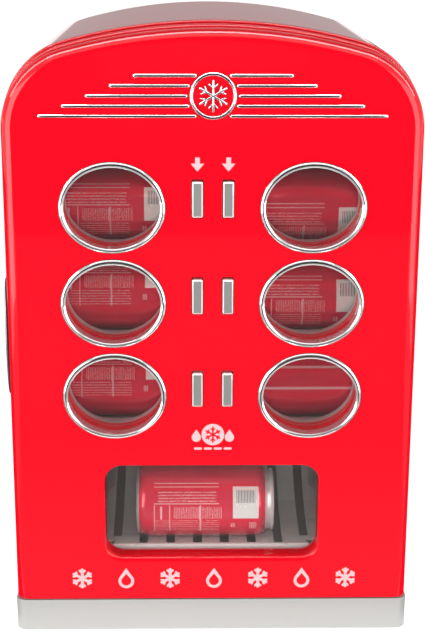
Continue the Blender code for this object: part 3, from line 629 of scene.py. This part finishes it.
def window_tunnel(place):
    """Cutter of the tunnel behind a window, which rounds out into the rear of the panel."""
    lip, behind = 1.2, DOOR_DEPTH + THROUGH
    section = [(0.0, RIM_DEPTH - THROUGH), (0.0, TUNNEL_RED_DEPTH), (0.0, DOOR_DEPTH - lip)]
    section += [(-lip * (1 - cos(a)), DOOR_DEPTH - lip * (1 - sin(a))) for a in quarter(4)[1:]]
    section += [(-lip, behind)]
    return plate(lambda inset: oval(place, BEZEL_HOLE_INSET + inset), section)


def make_door_panel():
    """The moulded inner panel, with a tunnel behind each window and a raised field inside the gasket."""
    clear, corner, behind = 0.05, 4.0, DOOR_DEPTH + THROUGH
    shape = tuple(value - way * (RIM_WALL + clear) for value, way in zip(RIM, (1, 1, -1)))
    panel = plate(lambda inset: arch(shape, inset, corner), [(0.0, RIM_DEPTH), (0.0, DOOR_DEPTH)])
    hollow = plate(lambda inset: arch(shape, inset + 1.0, corner),
                   [(0.0, RIM_DEPTH - THROUGH), (0.0, DOOR_DEPTH - PANEL_WALL)])
    hollow = boolean(hollow, [merged(door_sleeves(RIM_DEPTH - 2 * THROUGH, DOOR_DEPTH))])
    tunnels = [window_tunnel(place) for place in PLACES]
    tunnels.append(wide_room(RIM_DEPTH - THROUGH, behind))
    tunnels += button_wells(RIM_DEPTH - THROUGH, DOOR_DEPTH - PANEL_WALL)
    stem_half_x, stem_half_z, stem_room = 2.85, 4.35, 4.0
    stems = [box(spans(at.x, stem_half_x), (DOOR_DEPTH - stem_room, behind), spans(at.z, stem_half_z))
             for at in (middle(f"button_{place}") for place in PLACES)]
    low, high = corners("door_gasket")
    margin, groove_width, groove_depth = 10.5, 1.4, 0.5
    field = (high.x - margin, high.z - margin, low.z + margin)
    groove_floor = DOOR_DEPTH - groove_depth
    section = [(0.0, groove_floor), (0.0, behind), (groove_width, behind), (groove_width, groove_floor)]
    groove = plate(lambda inset: arch(field, inset, 5.0), section, True)
    panel = boolean(panel, [hollow, merged(tunnels), merged(stems), merged(hinge_pockets()), groove])
    for face in panel.faces:
        spot = face.calc_center_median()
        lining = spot.y < depth(TUNNEL_RED_DEPTH) and abs(face.normal.y) < 0.3
        face.material_index = int(lining and any(off_oval(spot, place) < -0.04 for place in PLACES))
    piece("door_inner_panel", panel, "door", [GREY, RED_PLASTIC], ["door_liner"])


def make_gasket():
    """A bellows gasket: two folds between the door's panel and the cabinet's front."""
    low, high = corners("door_gasket")
    near, far = depths("door_gasket")
    width, step = 8.7, (far - near) / 4
    outer = [(0.0, near), (0.2, near + step), (1.3, near + 1.6 * step), (0.5, near + 2.5 * step), (1.5, far)]
    section = outer + [(width - inset, d) for inset, d in reversed(outer)]
    ring = plate(lambda inset: arch((high.x, high.z, low.z), inset, 9.0), section, True)
    piece("bellows_gasket", ring, "door", [RUBBER], ["door_gasket"], 50.0)


def swelling(start, end, first, last):
    """Section points of a strip from one inset to another, whose tilt turns evenly, in degrees."""
    points, rise, steps = [start], start[1], 5
    step = (end - start[0]) / steps
    for i in range(steps):
        rise -= step * tan(radians(first + (last - first) * (i + 0.5) / steps))
        points.append((start[0] + step * (i + 1), rise))
    return points


def make_bezel(place):
    """A chrome ring: a band sloping outwards, a groove painted black as shade, a taller band sloping
    inwards, a collar; a thin line at its outer foot is painted black as shade too.
    """
    near, far = depths(f"window_bezel_{place}")
    back, foot, collar, collar_wall = -0.3, -0.5, 4.3, 1.2
    outer = swelling((0.35, -0.75), 1.85, 46.0, 24.0)
    groove_floor = outer[-1][1] + 0.7
    groove = [(1.88, groove_floor), (2.72, groove_floor)]
    inner = swelling((2.75, near + 0.05), 4.25, -22.0, -42.0)
    section = [(0.0, back), (0.0, foot), (0.3, foot - 0.05), *outer, *groove, *inner]
    section += [(collar, inner[-1][1] + 0.2), (collar, far)]
    section += [(collar - collar_wall, far), (collar - collar_wall, back)]
    ring = plate(lambda inset: oval(place, inset), section, True)
    # Faces at the ring's outer foot and in its groove take the black: painted shade
    for face in ring.faces:
        spot = face.calc_center_median()
        painted_shade = abs(off_oval(spot, place, 0.08)) < 0.004 or abs(off_oval(spot, place, 2.30)) < 0.0098
        face.material_index = int(painted_shade and spot.y < depth(-0.2))
    piece(f"bezel_{place}", ring, "door", [BEZEL, GROOVE_SHADE], [f"window_bezel_{place}"], 24.0)


def make_lens(place):
    """A window with a slightly domed front."""
    near, far = depths(f"window_lens_{place}")
    crown, flat = 0.7, 20.0
    section = [(reach, near + crown * (1 - reach / flat) ** 2)
               for reach in (flat, 15.0, 10.0, 6.0, 3.0, 0.5)]
    section += [(0.0, near + crown + 0.4), (0.0, far - 0.3), (0.3, far)]
    lens = plate(lambda inset: oval(place, LENS_INSET + inset), section)
    piece(f"lens_{place}", lens, "door", [LENS], [f"window_lens_{place}"])


def make_button(place):
    """A chrome cap with a sunk satin face, and the stem that reaches through the door."""
    name = f"button_{place}"
    at = middle(name)
    near, far = depths(name)
    rim, sunk, corner, cap_back = 1.25, 0.45, 1.3, 14.0
    section = [(rim + 0.05, near + sunk), (rim, near + sunk), (rim - 0.05, near), (rim - 0.15, near),
               (0.05, near + 1.05), (0.0, near + 1.2), (0.0, cap_back)]
    cap = plate(lambda inset: round_about(at, BUTTON_HALF, inset, max(corner - inset, 0.15), 4), section)
    whole = boolean(cap, [box(spans(at.x, 2.5), (cap_back - 1.0, far), spans(at.z, 4.0))], "UNION")
    for face in whole.faces:
        level = abs(face.calc_center_median().y - depth(near + sunk)) < 0.05
        face.material_index = int(level and abs(face.normal.y) > 0.99)
    piece(f"push_{name}", whole, name, [BEVEL, SATIN], [name], 20.0)


def flake(centre, reach, width, branch_at, branch, draw):
    """Strokes of a six-armed snowflake. draw makes a solid from two end points and a width."""
    solids = []

    def out_from(start, angle, length):
        return (start[0] + length * cos(angle), start[1] + length * sin(angle))

    for k in range(3):
        a = pi / 2 + k * pi / 3
        solids.append(draw([out_from(centre, a, -reach), out_from(centre, a, reach)], width))
    for k in range(6):
        a = pi / 2 + k * pi / 3
        root = out_from(centre, a, branch_at)
        solids += [draw([root, out_from(root, a + way * pi / 4, branch)], width * 0.8) for way in (-1, 1)]
    return solids


BADGE_WIRE, BADGE_LIFT, BADGE_BACK = 3.3, 2.2, -0.3
BADGE_CENTRE, BADGE_RING = (0.0, 469.0), 19.0


def make_badge():
    """A streamline ornament: a snowflake in a ring between two wings of five half-round bars."""
    z = BADGE_CENTRE[1]

    def strip(path, width, joined=False):
        return bead(path, width, BADGE_LIFT, BADGE_BACK, joined)

    solids = [strip(circle(BADGE_CENTRE, BADGE_RING - BADGE_WIRE / 2, 72), BADGE_WIRE, True)]
    solids += flake(BADGE_CENTRE, reach=12.0, width=2.4, branch_at=6.0, branch=4.6, draw=strip)
    pitch, longest, taper, gap = 8.0, 138.0, 19.0, 2.6
    for level in range(5):
        height, reach = z + pitch * (level - 2), longest - taper * level
        root = sqrt((BADGE_RING + gap) ** 2 - (height - z) ** 2)
        for way in (-1, 1):
            ends = [way * (root + (reach - root) * i / 6) for i in range(7)]
            solids.append(strip([(end, height) for end in ends], BADGE_WIRE))
    piece("streamline_badge", merged(solids), "door", [CHROME], ["badge"], 60.0, False)


def make_handle():
    """A shallow bow over the finger recess: a chrome strip on a backing painted black as the shade between
    the bow and the door.
    """
    low, high = corners("door_handle")
    near, far = depths("door_handle")
    centre, half, bow = (low.z + high.z) / 2, (high.z - low.z) / 2, high.x - low.x
    steps, tip, shade_share = 40, 0.5, 0.55

    def bowed(share, inset=0.0):
        """X and Z along the bow's outer side, or along a line that lies a share of the way out to it."""
        line = []
        for i in range(steps + 1):
            t = 1.0 - 2.0 * i / steps
            rise = tip + (bow - tip) * (1.0 - t * t) ** 0.6
            line.append((high.x - max(share * rise - inset, 0.2), centre + (half - inset) * t))
        return line

    # The inner part of the bow, in black: painted shade in the gap between the chrome and the door
    def shade_backing(inset):
        seat = [(high.x - 0.1, centre + way * (half - inset)) for way in (-1, 1)]
        return seat + bowed(shade_share, inset)

    def strip(inset):
        seam = 0.04
        return bowed(1.0, inset) + [(x - seam, z) for x, z in reversed(bowed(shade_share))]

    bow_plate = plate(strip, slab(1.4, near, far, 5))
    piece("chrome_handle", bow_plate, "door", [CHROME], ["door_handle"], 30.0)
    piece("handle_shade_backing", plate(shade_backing, slab(0.1, near + 0.1, far - 0.1, 2)), "door", [BLACK])


def make_flap():
    """Clear plate with polished edges, a narrow neck round its rod and a finger rail along its foot."""
    low, high = corners("delivery_flap")
    near, far, corner = 13.0, 15.5, OPENING_CORNER - 0.8
    shoulder, neck_half, neck_corner, overlap = 135.0, 83.0, 8.0, 40.0
    section = slab(0.35, near, far, 3)
    body = plate(lambda inset: rounded(high.x - inset, low.z + inset, shoulder - inset, corner - inset),
                 section)
    neck = plate(lambda inset: rounded(neck_half - inset, shoulder - overlap + inset, high.z - inset,
                                       neck_corner - inset), section)
    rail = bead([(33.0 * i, low.z + 4.2) for i in range(-2, 3)], 3.0, 2.2, near + 0.3)
    flap = boolean(body, [neck, flap_rod(1.8, 179.0), rail], "UNION")
    for face in flap.faces:
        face.material_index = int(abs(face.normal.y) < 0.5)
    piece("clear_flap", flap, "flap", [FLAP, FLAP_EDGE], ["delivery_flap"])


# ---- print on the door

PRINT_NEAR, PRINT_FAR = -0.10, 0.05


def ink(outline):
    return prism(outline, PRINT_NEAR, PRINT_FAR)


def ink_stroke(path, width):
    """A flat stroke with round ends between two points."""
    (x0, z0), (x1, z1) = path
    along = atan2(z1 - z0, x1 - x0)
    outline = arc((x1, z1), width / 2, along - pi / 2, along + pi / 2, 6)
    outline += arc((x0, z0), width / 2, along + pi / 2, along + 3 * pi / 2, 6)
    return ink(outline)


def joined_ink(solids):
    return boolean(solids[0], solids[1:], "UNION")


def drop_outline(centre, height, inset=0.0):
    """A water drop with its point up, drawn in by inset."""
    x, z = centre
    full = 0.36 * height  # the radius of its round foot
    radius, low, tip = full - inset, z - height / 2 + full, z + height / 2 - inset * 2.1
    tangent = asin(min(radius / (tip - low), 1.0))
    return [(x, tip)] + arc((x, low), radius, pi - tangent, 2 * pi + tangent, 28)


def drop_ring(centre, height, width):
    section = [(0.0, PRINT_NEAR), (width, PRINT_NEAR), (width, PRINT_FAR), (0.0, PRINT_FAR)]
    return plate(lambda inset: drop_outline(centre, height, inset), section, True)


def arrows():
    """An arrow over each of the top buttons."""
    top, shoulder, tip, half, stem = 420.0, 415.0, 408.6, 5.4, 1.9
    signs = []
    for side in SIDES:
        x = middle(f"button_{side}_top").x
        signs.append(ink([(x - stem, top), (x - stem, shoulder), (x - half, shoulder), (x, tip),
                          (x + half, shoulder), (x + stem, shoulder), (x + stem, top)]))
    return signs


def frost_sign():
    """A flake left blank in a disc, between two drops and over four short bars."""
    x, z = 0.6, 184.0
    cut = joined_ink(flake((x, z), reach=6.6, width=1.5, branch_at=3.6, branch=2.3, draw=ink_stroke))
    cut.transform(Matrix.Translation((0.0, FACE_Y, 0.0)) @ Matrix.Diagonal((1.0, 20.0, 1.0, 1.0))
                  @ Matrix.Translation((0.0, -FACE_Y, 0.0)))
    signs = [boolean(ink(circle((x, z), 9.6, 48)), [cut])]
    signs += [ink(rounded(3.4, z - 13.6, z - 11.6, 0.9, x + shift, 4)) for shift in (-12.6, -4.2, 4.2, 12.6)]
    return signs + [ink(drop_outline((x + way * 14.0, z - 1.0), 11.0)) for way in (-1, 1)]


def foot_row():
    """Flakes and open drops in turn along the foot of the door."""
    x, z, height, pitch, width = 2.0, 51.0, 19.0, 38.2, 2.5
    signs = []
    for i in range(7):
        centre = (x + pitch * (i - 3), z)
        if i % 2:
            signs.append(drop_ring(centre, height, width))
        else:
            signs.append(joined_ink(flake(centre, (height - width) / 2, width, 5.2, 3.0, ink_stroke)))
    return signs


def make_prints():
    """Plain signs in pale ink."""
    for name, signs in (("arrows", arrows()), ("frost_sign", frost_sign()), ("foot_row", foot_row())):
        piece(f"print_{name}", merged(signs), "door", [PRINT], (), 30.0, False)


# ---- cabinet

def make_cabinet_shell():
    """The painted outer wrap, with a rolled front edge and a seam behind it."""
    near, far = depths("cabinet_shell")
    wall, seam = 2.5, near + 9.0
    section = [(wall, near)] + round_edge(2.4, near, 1, 7)
    section += [(0.0, seam), (0.45, seam + 0.25), (0.45, seam + 0.75), (0.0, seam + 1.0)]
    section += round_edge(1.0, far, -1, 3)[::-1] + [(wall, far)]
    piece("cabinet_wrap", plate(lambda inset: arch(CABINET, inset), section, True), "cabinet", [RED],
          ["cabinet_shell"])


def make_cabinet_liner():
    """The grey tub with its flange, a round-lipped mouth and a duct for the cold plate."""
    near, far = depths("cabinet_liner")
    wall, lip = 2.0, 1.5
    flange_shape, room = arch_of("cabinet_liner"), (147.0, 495.0, 57.0)
    outside = (room[0] + wall, room[1] + wall, room[2] - wall)
    flange = plate(lambda inset: arch(flange_shape, inset, 4.0), [(0.0, near), (0.0, near + wall)])
    tub = plate(lambda inset: arch(outside, inset), [(0.0, near + 0.5), (0.0, far)])
    mouth = [(-lip, near - THROUGH)] + [(-i, d) for i, d in round_edge(lip, near, 1, 4)]
    hole = plate(lambda inset: arch(room, inset), [*mouth, (0.0, far - wall)])
    duct = box(spans(0.0, 24.0), (far - 7.0, far + THROUGH), spans(middle("cold_plate").z, 24.0))
    tub = boolean(boolean(flange, [tub], "UNION"), [hole, duct])
    piece("inner_tub", tub, "cabinet", [GREY], ["cabinet_liner"])


SCREWS = [(way * x, z) for way in (-1, 1)
          for x, z in ((160.0, 50.0), (160.0, 210.0), (160.0, 370.0), (98.0, 496.0))]


def make_rear_cover():
    """The back panel: slots at the fan and below it, a cut-out for the inlet, a dimple round each screw."""
    near, far = depths("rear_cover")
    fan, bore, pitch, slot_half = middle("fan_rotor").z, 43.5, 9.6, 2.6
    front, behind = near - THROUGH, far + THROUGH
    inlet_x, inlet_z = (92.0, 144.0), (58.0, 92.0)
    low_slots, low_slot_half = range(120, 181, 12), (60.0, 2.5)
    holes = [box(inlet_x, (front, behind), inlet_z)]
    for i in range(-4, 5):
        at, reach = fan + pitch * i, sqrt(bore ** 2 - (pitch * i) ** 2)
        holes.append(prism(rounded(reach, at - slot_half, at + slot_half, 2.5), front, behind))
    for at in low_slots:
        holes.append(prism(rounded(low_slot_half[0], at - low_slot_half[1], at + low_slot_half[1], 2.4),
                           front, behind))
    dimples = [prism(circle(place, 4.2, 24), far - 0.9, behind) for place in SCREWS]
    shape = arch_of("rear_cover")
    cover = plate(lambda inset: arch(shape, inset), [(0.0, near)] + round_edge(0.6, far, -1, 3)[::-1])
    cover = boolean(cover, [merged(holes), merged(dimples)])
    piece("vented_rear_cover", cover, "cabinet", [BLACK], ["rear_cover"])


def make_screws():
    """Cross-head screws in the dimples of the back panel."""
    far = depths("rear_cover")[1]
    section = [(0.0, far - 1.0), (0.0, far - 0.55), (0.7, far - 0.25), (2.1, far - 0.1)]
    heads = []
    for x, z in SCREWS:
        cross = [box(spans(x, wide), (far - 0.55, far + 1.0), spans(z, tall))
                 for wide, tall in ((1.7, 0.3), (0.3, 1.7))]
        heads.append(boolean(plate(lambda inset: circle((x, z), 3.3 - inset, 24), section), cross))
    piece("rear_cover_screws", merged(heads), "cabinet", [STEEL])


def make_base():
    """The silver plinth: an open frame with round corners and softened edges."""
    low, high = corners("base_skirt")
    wall, corner = 3.0, 8.0
    section = [(wall, low.z), (1.5, low.z), (0.7, low.z + 0.2), (0.2, low.z + 0.7), (0.0, low.z + 1.5),
               (0.0, high.z - 0.4), (0.12, high.z - 0.12), (0.4, high.z), (wall, high.z)]
    rings = []
    for inset, z in section:
        outline = rounded(high.x - inset, low.y + inset, high.y - inset, max(corner - inset, 1.0))
        rings.append([(x, y, z) for x, y in outline])
    piece("silver_plinth", skin(rings, True), "cabinet", [SILVER], ["base_skirt"])


# ---- cans

def can_profile():
    """(distance, radius, bare) along a can, from the middle of its base to that of its lid."""
    body_end, neck_end, neck_radius, steps = CAN_LENGTH - 15.0, CAN_LENGTH - 3.4, 26.5, 8
    heel_end = CAN_HEEL[-1][0]
    profile = [(*point, True) for point in CAN_BASE] + [(*point, False) for point in CAN_HEEL]
    profile += [(heel_end + (body_end - heel_end) * i / 6, CAN_RADIUS, False) for i in range(1, 7)]
    for t in (i / steps for i in range(1, steps + 1)):
        drop = (CAN_RADIUS - neck_radius) * (1 - cos(pi * t)) / 2
        profile.append((body_end + (neck_end - body_end) * t, CAN_RADIUS - drop, t > 0.6))
    return profile + [(CAN_LENGTH - back, radius, True) for back, radius in CAN_LID]


def can_wall(low, centre, roll):
    """The can's turned wall, with its label unrolled in the UV layer that the printed paint reads."""
    profile = can_profile()
    bm = bmesh.new()
    wrap = bm.loops.layers.uv.new("wrap")
    rings = []
    for along, radius, _ in profile:
        angles = [2 * pi * (k / CAN_STEPS - 0.5) + roll for k in range(CAN_STEPS if radius > 0 else 1)]
        rings.append([bm.verts.new((low.x + along, centre.y - radius * cos(a), centre.z + radius * sin(a)))
                      for a in angles])
    for i in range(len(profile) - 1):
        near, far = rings[i], rings[i + 1]
        for k in range(CAN_STEPS):
            j = (k + 1) % CAN_STEPS
            around = [(near[k % len(near)], i, k), (near[j % len(near)], i, k + 1),
                      (far[j % len(far)], i + 1, k + 1), (far[k % len(far)], i + 1, k)]
            if len(near) == 1:
                around.pop(1)
            if len(far) == 1:
                around.pop(2)
            face = bm.faces.new([vert for vert, _, _ in around])
            face.material_index = int(profile[i][2] and profile[i + 1][2])
            for loop, (_, station, step) in zip(face.loops, around):
                loop[wrap].uv = (profile[station][0] / CAN_LENGTH, step / CAN_STEPS)
    bmesh.ops.recalc_face_normals(bm, faces=bm.faces)
    return bm


def can_opener(lid_x, centre, roll):
    """The pull tab, its rivet and the bridge between them."""

    def on_lid(lift, outline):
        """Points in the plane of the lid, turned with the can."""
        turned = [(u * cos(roll) - v * sin(roll), u * sin(roll) + v * cos(roll)) for u, v in outline]
        return [(lid_x + lift, centre.y + y, centre.z + z) for y, z in turned]

    def tab_outline(half_long, half_wide):
        """A half circle at each end."""
        reach = half_long - half_wide
        return (arc((reach, 0.0), half_wide, -pi / 2, pi / 2, 8)
                + arc((-reach, 0.0), half_wide, pi / 2, 3 * pi / 2, 8))

    tab = skin([on_lid(lift, tab_outline(*half)) for half, lift in (
        ((12.0, 7.6), 1.0), ((12.3, 7.9), 1.6), ((11.7, 7.3), 2.2),
        ((9.0, 4.6), 2.2), ((8.6, 4.2), 1.6), ((9.0, 4.6), 1.0))], True)
    rivet = skin([[(lid_x + lift, y, z) for y, z in circle((centre.y, centre.z), radius, 20)]
                  for radius, lift in ((3.0, -0.5), (3.0, 1.6), (2.0, 2.4))])
    bridge = skin([on_lid(lift, ((-3.4, -5.4), (3.4, -5.4), (3.4, 5.4), (-3.4, 5.4)))
                   for lift in (1.2, 1.9)])
    for solid in (tab, rivet, bridge):
        for face in solid.faces:
            face.material_index = 1
    return [tab, rivet, bridge]


def make_can(name, body, roll):
    """A can along X: its lid at +X, its label turned about its axis by roll."""
    low, centre = corners(name)[0], middle(name)
    lid_x = low.x + CAN_LENGTH - CAN_LID[-1][0]
    whole = merged([can_wall(low, centre, roll), *can_opener(lid_x, centre, roll)])
    piece(f"drinks_{name}", whole, body, [LABEL, CAN_METAL], [name], 30.0, False)


def make_cans():
    for place, roll in CAN_ROLLS.items():
        body = "cabinet" if place == "delivered" else f"shelf_{place}"
        make_can(f"can_{place}", body, radians(roll))


# ---- finishes of the CAD pieces that stay

KEPT = {
    "door_foam": FOAM, "cabinet_insulation": FOAM, "can_rack": GREY, "delivery_chute": PALE_GREY,
    "cold_plate": ALUMINIUM, "heat_sink": ALUMINIUM, "thermoelectric_module": CERAMIC, "fan_frame": BLACK,
    "fan_rotor": BLACK, "power_inlet": BLACK, "mode_switch": RUBBER, "base_pan": BLACK,
    **{f"foot_{end}_{side}": RUBBER for end in ("front", "rear") for side in SIDES},
    **{f"hinge_bracket_{end}": STEEL for end in HINGES},
    **{f"tilt_shelf_{place}": GREY for place in PLACES},
}


def finish_kept_nodes():
    for node, material in KEPT.items():
        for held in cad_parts[node].material_slots:
            held.link = "OBJECT"
            held.material = material


# ---- studio

def make_camera():
    data = bpy.data.cameras.new("camera")
    data.lens = CAMERA_LENS
    camera = bpy.data.objects.new("camera", data)
    bpy.context.scene.collection.objects.link(camera)
    turn = Matrix.Rotation(-CAMERA_YAW, 4, "Z") @ Matrix.Rotation(pi / 2 - CAMERA_PITCH, 4, "X")
    camera.matrix_world = Matrix.Translation(CAMERA_PLACE) @ turn @ Matrix.Rotation(CAMERA_ROLL, 4, "Z")
    bpy.context.scene.camera = camera


WHITE = (1.0, 1.0, 1.0, 1.0)


def stage_panel(name, points, material):
    """A flat panel of the studio from its four corners, in metres."""
    mesh = bpy.data.meshes.new(name)
    mesh.from_pydata(points, [], [(0, 1, 2, 3)])
    mesh.materials.append(material)
    obj = bpy.data.objects.new(name, mesh)
    bpy.context.scene.collection.objects.link(obj)
    return obj


def level_panel(name, x, y, height, material):
    return stage_panel(name, [(x[0], y[0], height), (x[1], y[0], height), (x[1], y[1], height),
                              (x[0], y[1], height)], material)


def upright_panel(name, start, end, low, high, material):
    return stage_panel(name, [(*start, low), (*end, low), (*end, high), (*start, high)], material)


def give_light(material, strength):
    """Make a material shine white, with a constant or a socket for its strength."""
    inputs = material.node_tree.nodes["Principled BSDF"].inputs
    inputs["Emission Color"].default_value = WHITE
    feed(material.node_tree, inputs["Emission Strength"], strength)


def dark_card(name):
    return surface(name, (0.004, 0.004, 0.004), 1.0, tone=0.1, grain=300.0, wobble=0.0, specular=0.0)


def make_floor():
    paint = surface("floor_paint", (0.82, 0.82, 0.82), 0.85, tone=0.01, grain=40.0, specular=0.0)
    give_light(paint, 0.70)
    level_panel("floor", (-40.0, 40.0), (-40.0, 40.0), 0.0, paint)


def make_flags():
    """Dark and dim panels that only reflections see."""
    black, fading, pale = dark_card("flag_cloth"), dark_card("floor_card"), dark_card("side_card")
    give_light(pale, 0.45)
    tree = fading.node_tree
    give_light(fading, spread(tree, texture_axis(tree, "Object", "Y"), 0.10, 0.26, -0.60, -0.28))
    lift, inner, outer, flag_top = 0.002, 0.42, 0.95, 0.42
    ahead, door_side, aside, behind = -1.75, -0.20, -0.19, 1.5
    flags = [upright_panel("flag_behind_camera", (-outer, ahead), (outer, ahead), lift, 2.6, black),
             level_panel("card_on_floor", (-inner, inner), (ahead, door_side), lift, fading)]
    for way, side in ((-1, "left"), (1, "right")):
        edge, rim = way * inner, way * outer
        flags += [upright_panel(f"flag_beside_{side}", (edge, 0.0), (edge, 2.0), lift, flag_top, black),
                  level_panel(f"card_aside_{side}", (edge, rim), (ahead, door_side), lift, pale),
                  level_panel(f"card_beside_{side}", (way * 0.19, way * 2.4), (aside, behind), lift, black)]
    for flag in flags:
        flag.visible_camera = False
        flag.visible_diffuse = False
        flag.visible_shadow = False
        flag.visible_transmission = False


def make_world():
    """A white world that dims upwards and towards the back."""
    world = bpy.data.worlds.new("studio")
    bpy.context.scene.world = world
    world.use_nodes = True
    tree = world.node_tree
    background = tree.nodes["Background"]
    upwards = spread(tree, texture_axis(tree, "Generated", "Z"), 1.0, 0.35, 0.35, 0.95)
    backwards = spread(tree, texture_axis(tree, "Generated", "Y"), 0.85, 0.46, -0.3, 0.3)
    feed(tree, background.inputs["Strength"], calculate(tree, "MULTIPLY", upwards, backwards))
    background.inputs["Color"].default_value = WHITE


def make_lamp(name, place, aim, size, power, diffuse=True, glossy=True):
    """A rectangular lamp that the camera doesn't see."""
    data = bpy.data.lights.new(name, "AREA")
    data.shape = "RECTANGLE"
    data.size, data.size_y = size
    data.energy = power
    lamp = bpy.data.objects.new(name, data)
    bpy.context.scene.collection.objects.link(lamp)
    lamp.location = place
    lamp.rotation_euler = (Vector(aim) - Vector(place)).to_track_quat("-Z", "Y").to_euler()
    lamp.visible_camera = False
    lamp.visible_diffuse = diffuse
    lamp.visible_glossy = glossy


def make_lamps():
    """Soft boxes and a key that light the object, and glints and a fill that only show as reflections."""
    for way, side, soft, glint in ((-1, "left", 7.8, 8.0), (1, "right", 6.0, 7.0)):
        make_lamp(f"soft_box_{side}", (way * 0.98, -0.88, 0.45), (way * 0.17, -0.15, 0.45), (0.95, 0.90),
                  soft)
        make_lamp(f"glint_{side}", (way * 1.15, -0.25, 1.22), (way * 0.12, -0.15, 0.45), (0.36, 0.95),
                  glint, diffuse=False)
    make_lamp("strip_above", (0.0, -0.22, 1.55), (0.0, 0.0, 0.5), (1.7, 0.08), 2.6)
    make_lamp("glint_above", (0.0, -0.14, 1.60), (0.0, -0.16, 0.5), (1.7, 0.36), 17.0, diffuse=False)
    make_lamp("fill_above", (0.0, -0.72, 1.50), (0.0, -0.16, 0.40), (1.7, 0.60), 3.6, diffuse=False)
    make_lamp("key_front", (0.0, -1.30, 0.40), (0.0, -0.15, 0.30), (0.35, 0.25), 1.2, glossy=False)


make_camera()
make_door_front()
make_door_rim()
make_door_panel()
make_gasket()
for window in PLACES:
    make_bezel(window)
    make_lens(window)
    make_button(window)
make_badge()
make_handle()
make_flap()
make_prints()
make_cabinet_shell()
make_cabinet_liner()
make_rear_cover()
make_screws()
make_base()
make_cans()
finish_kept_nodes()
make_floor()
make_flags()
make_world()
make_lamps()
bpy.context.scene.view_settings.view_transform = "Standard"
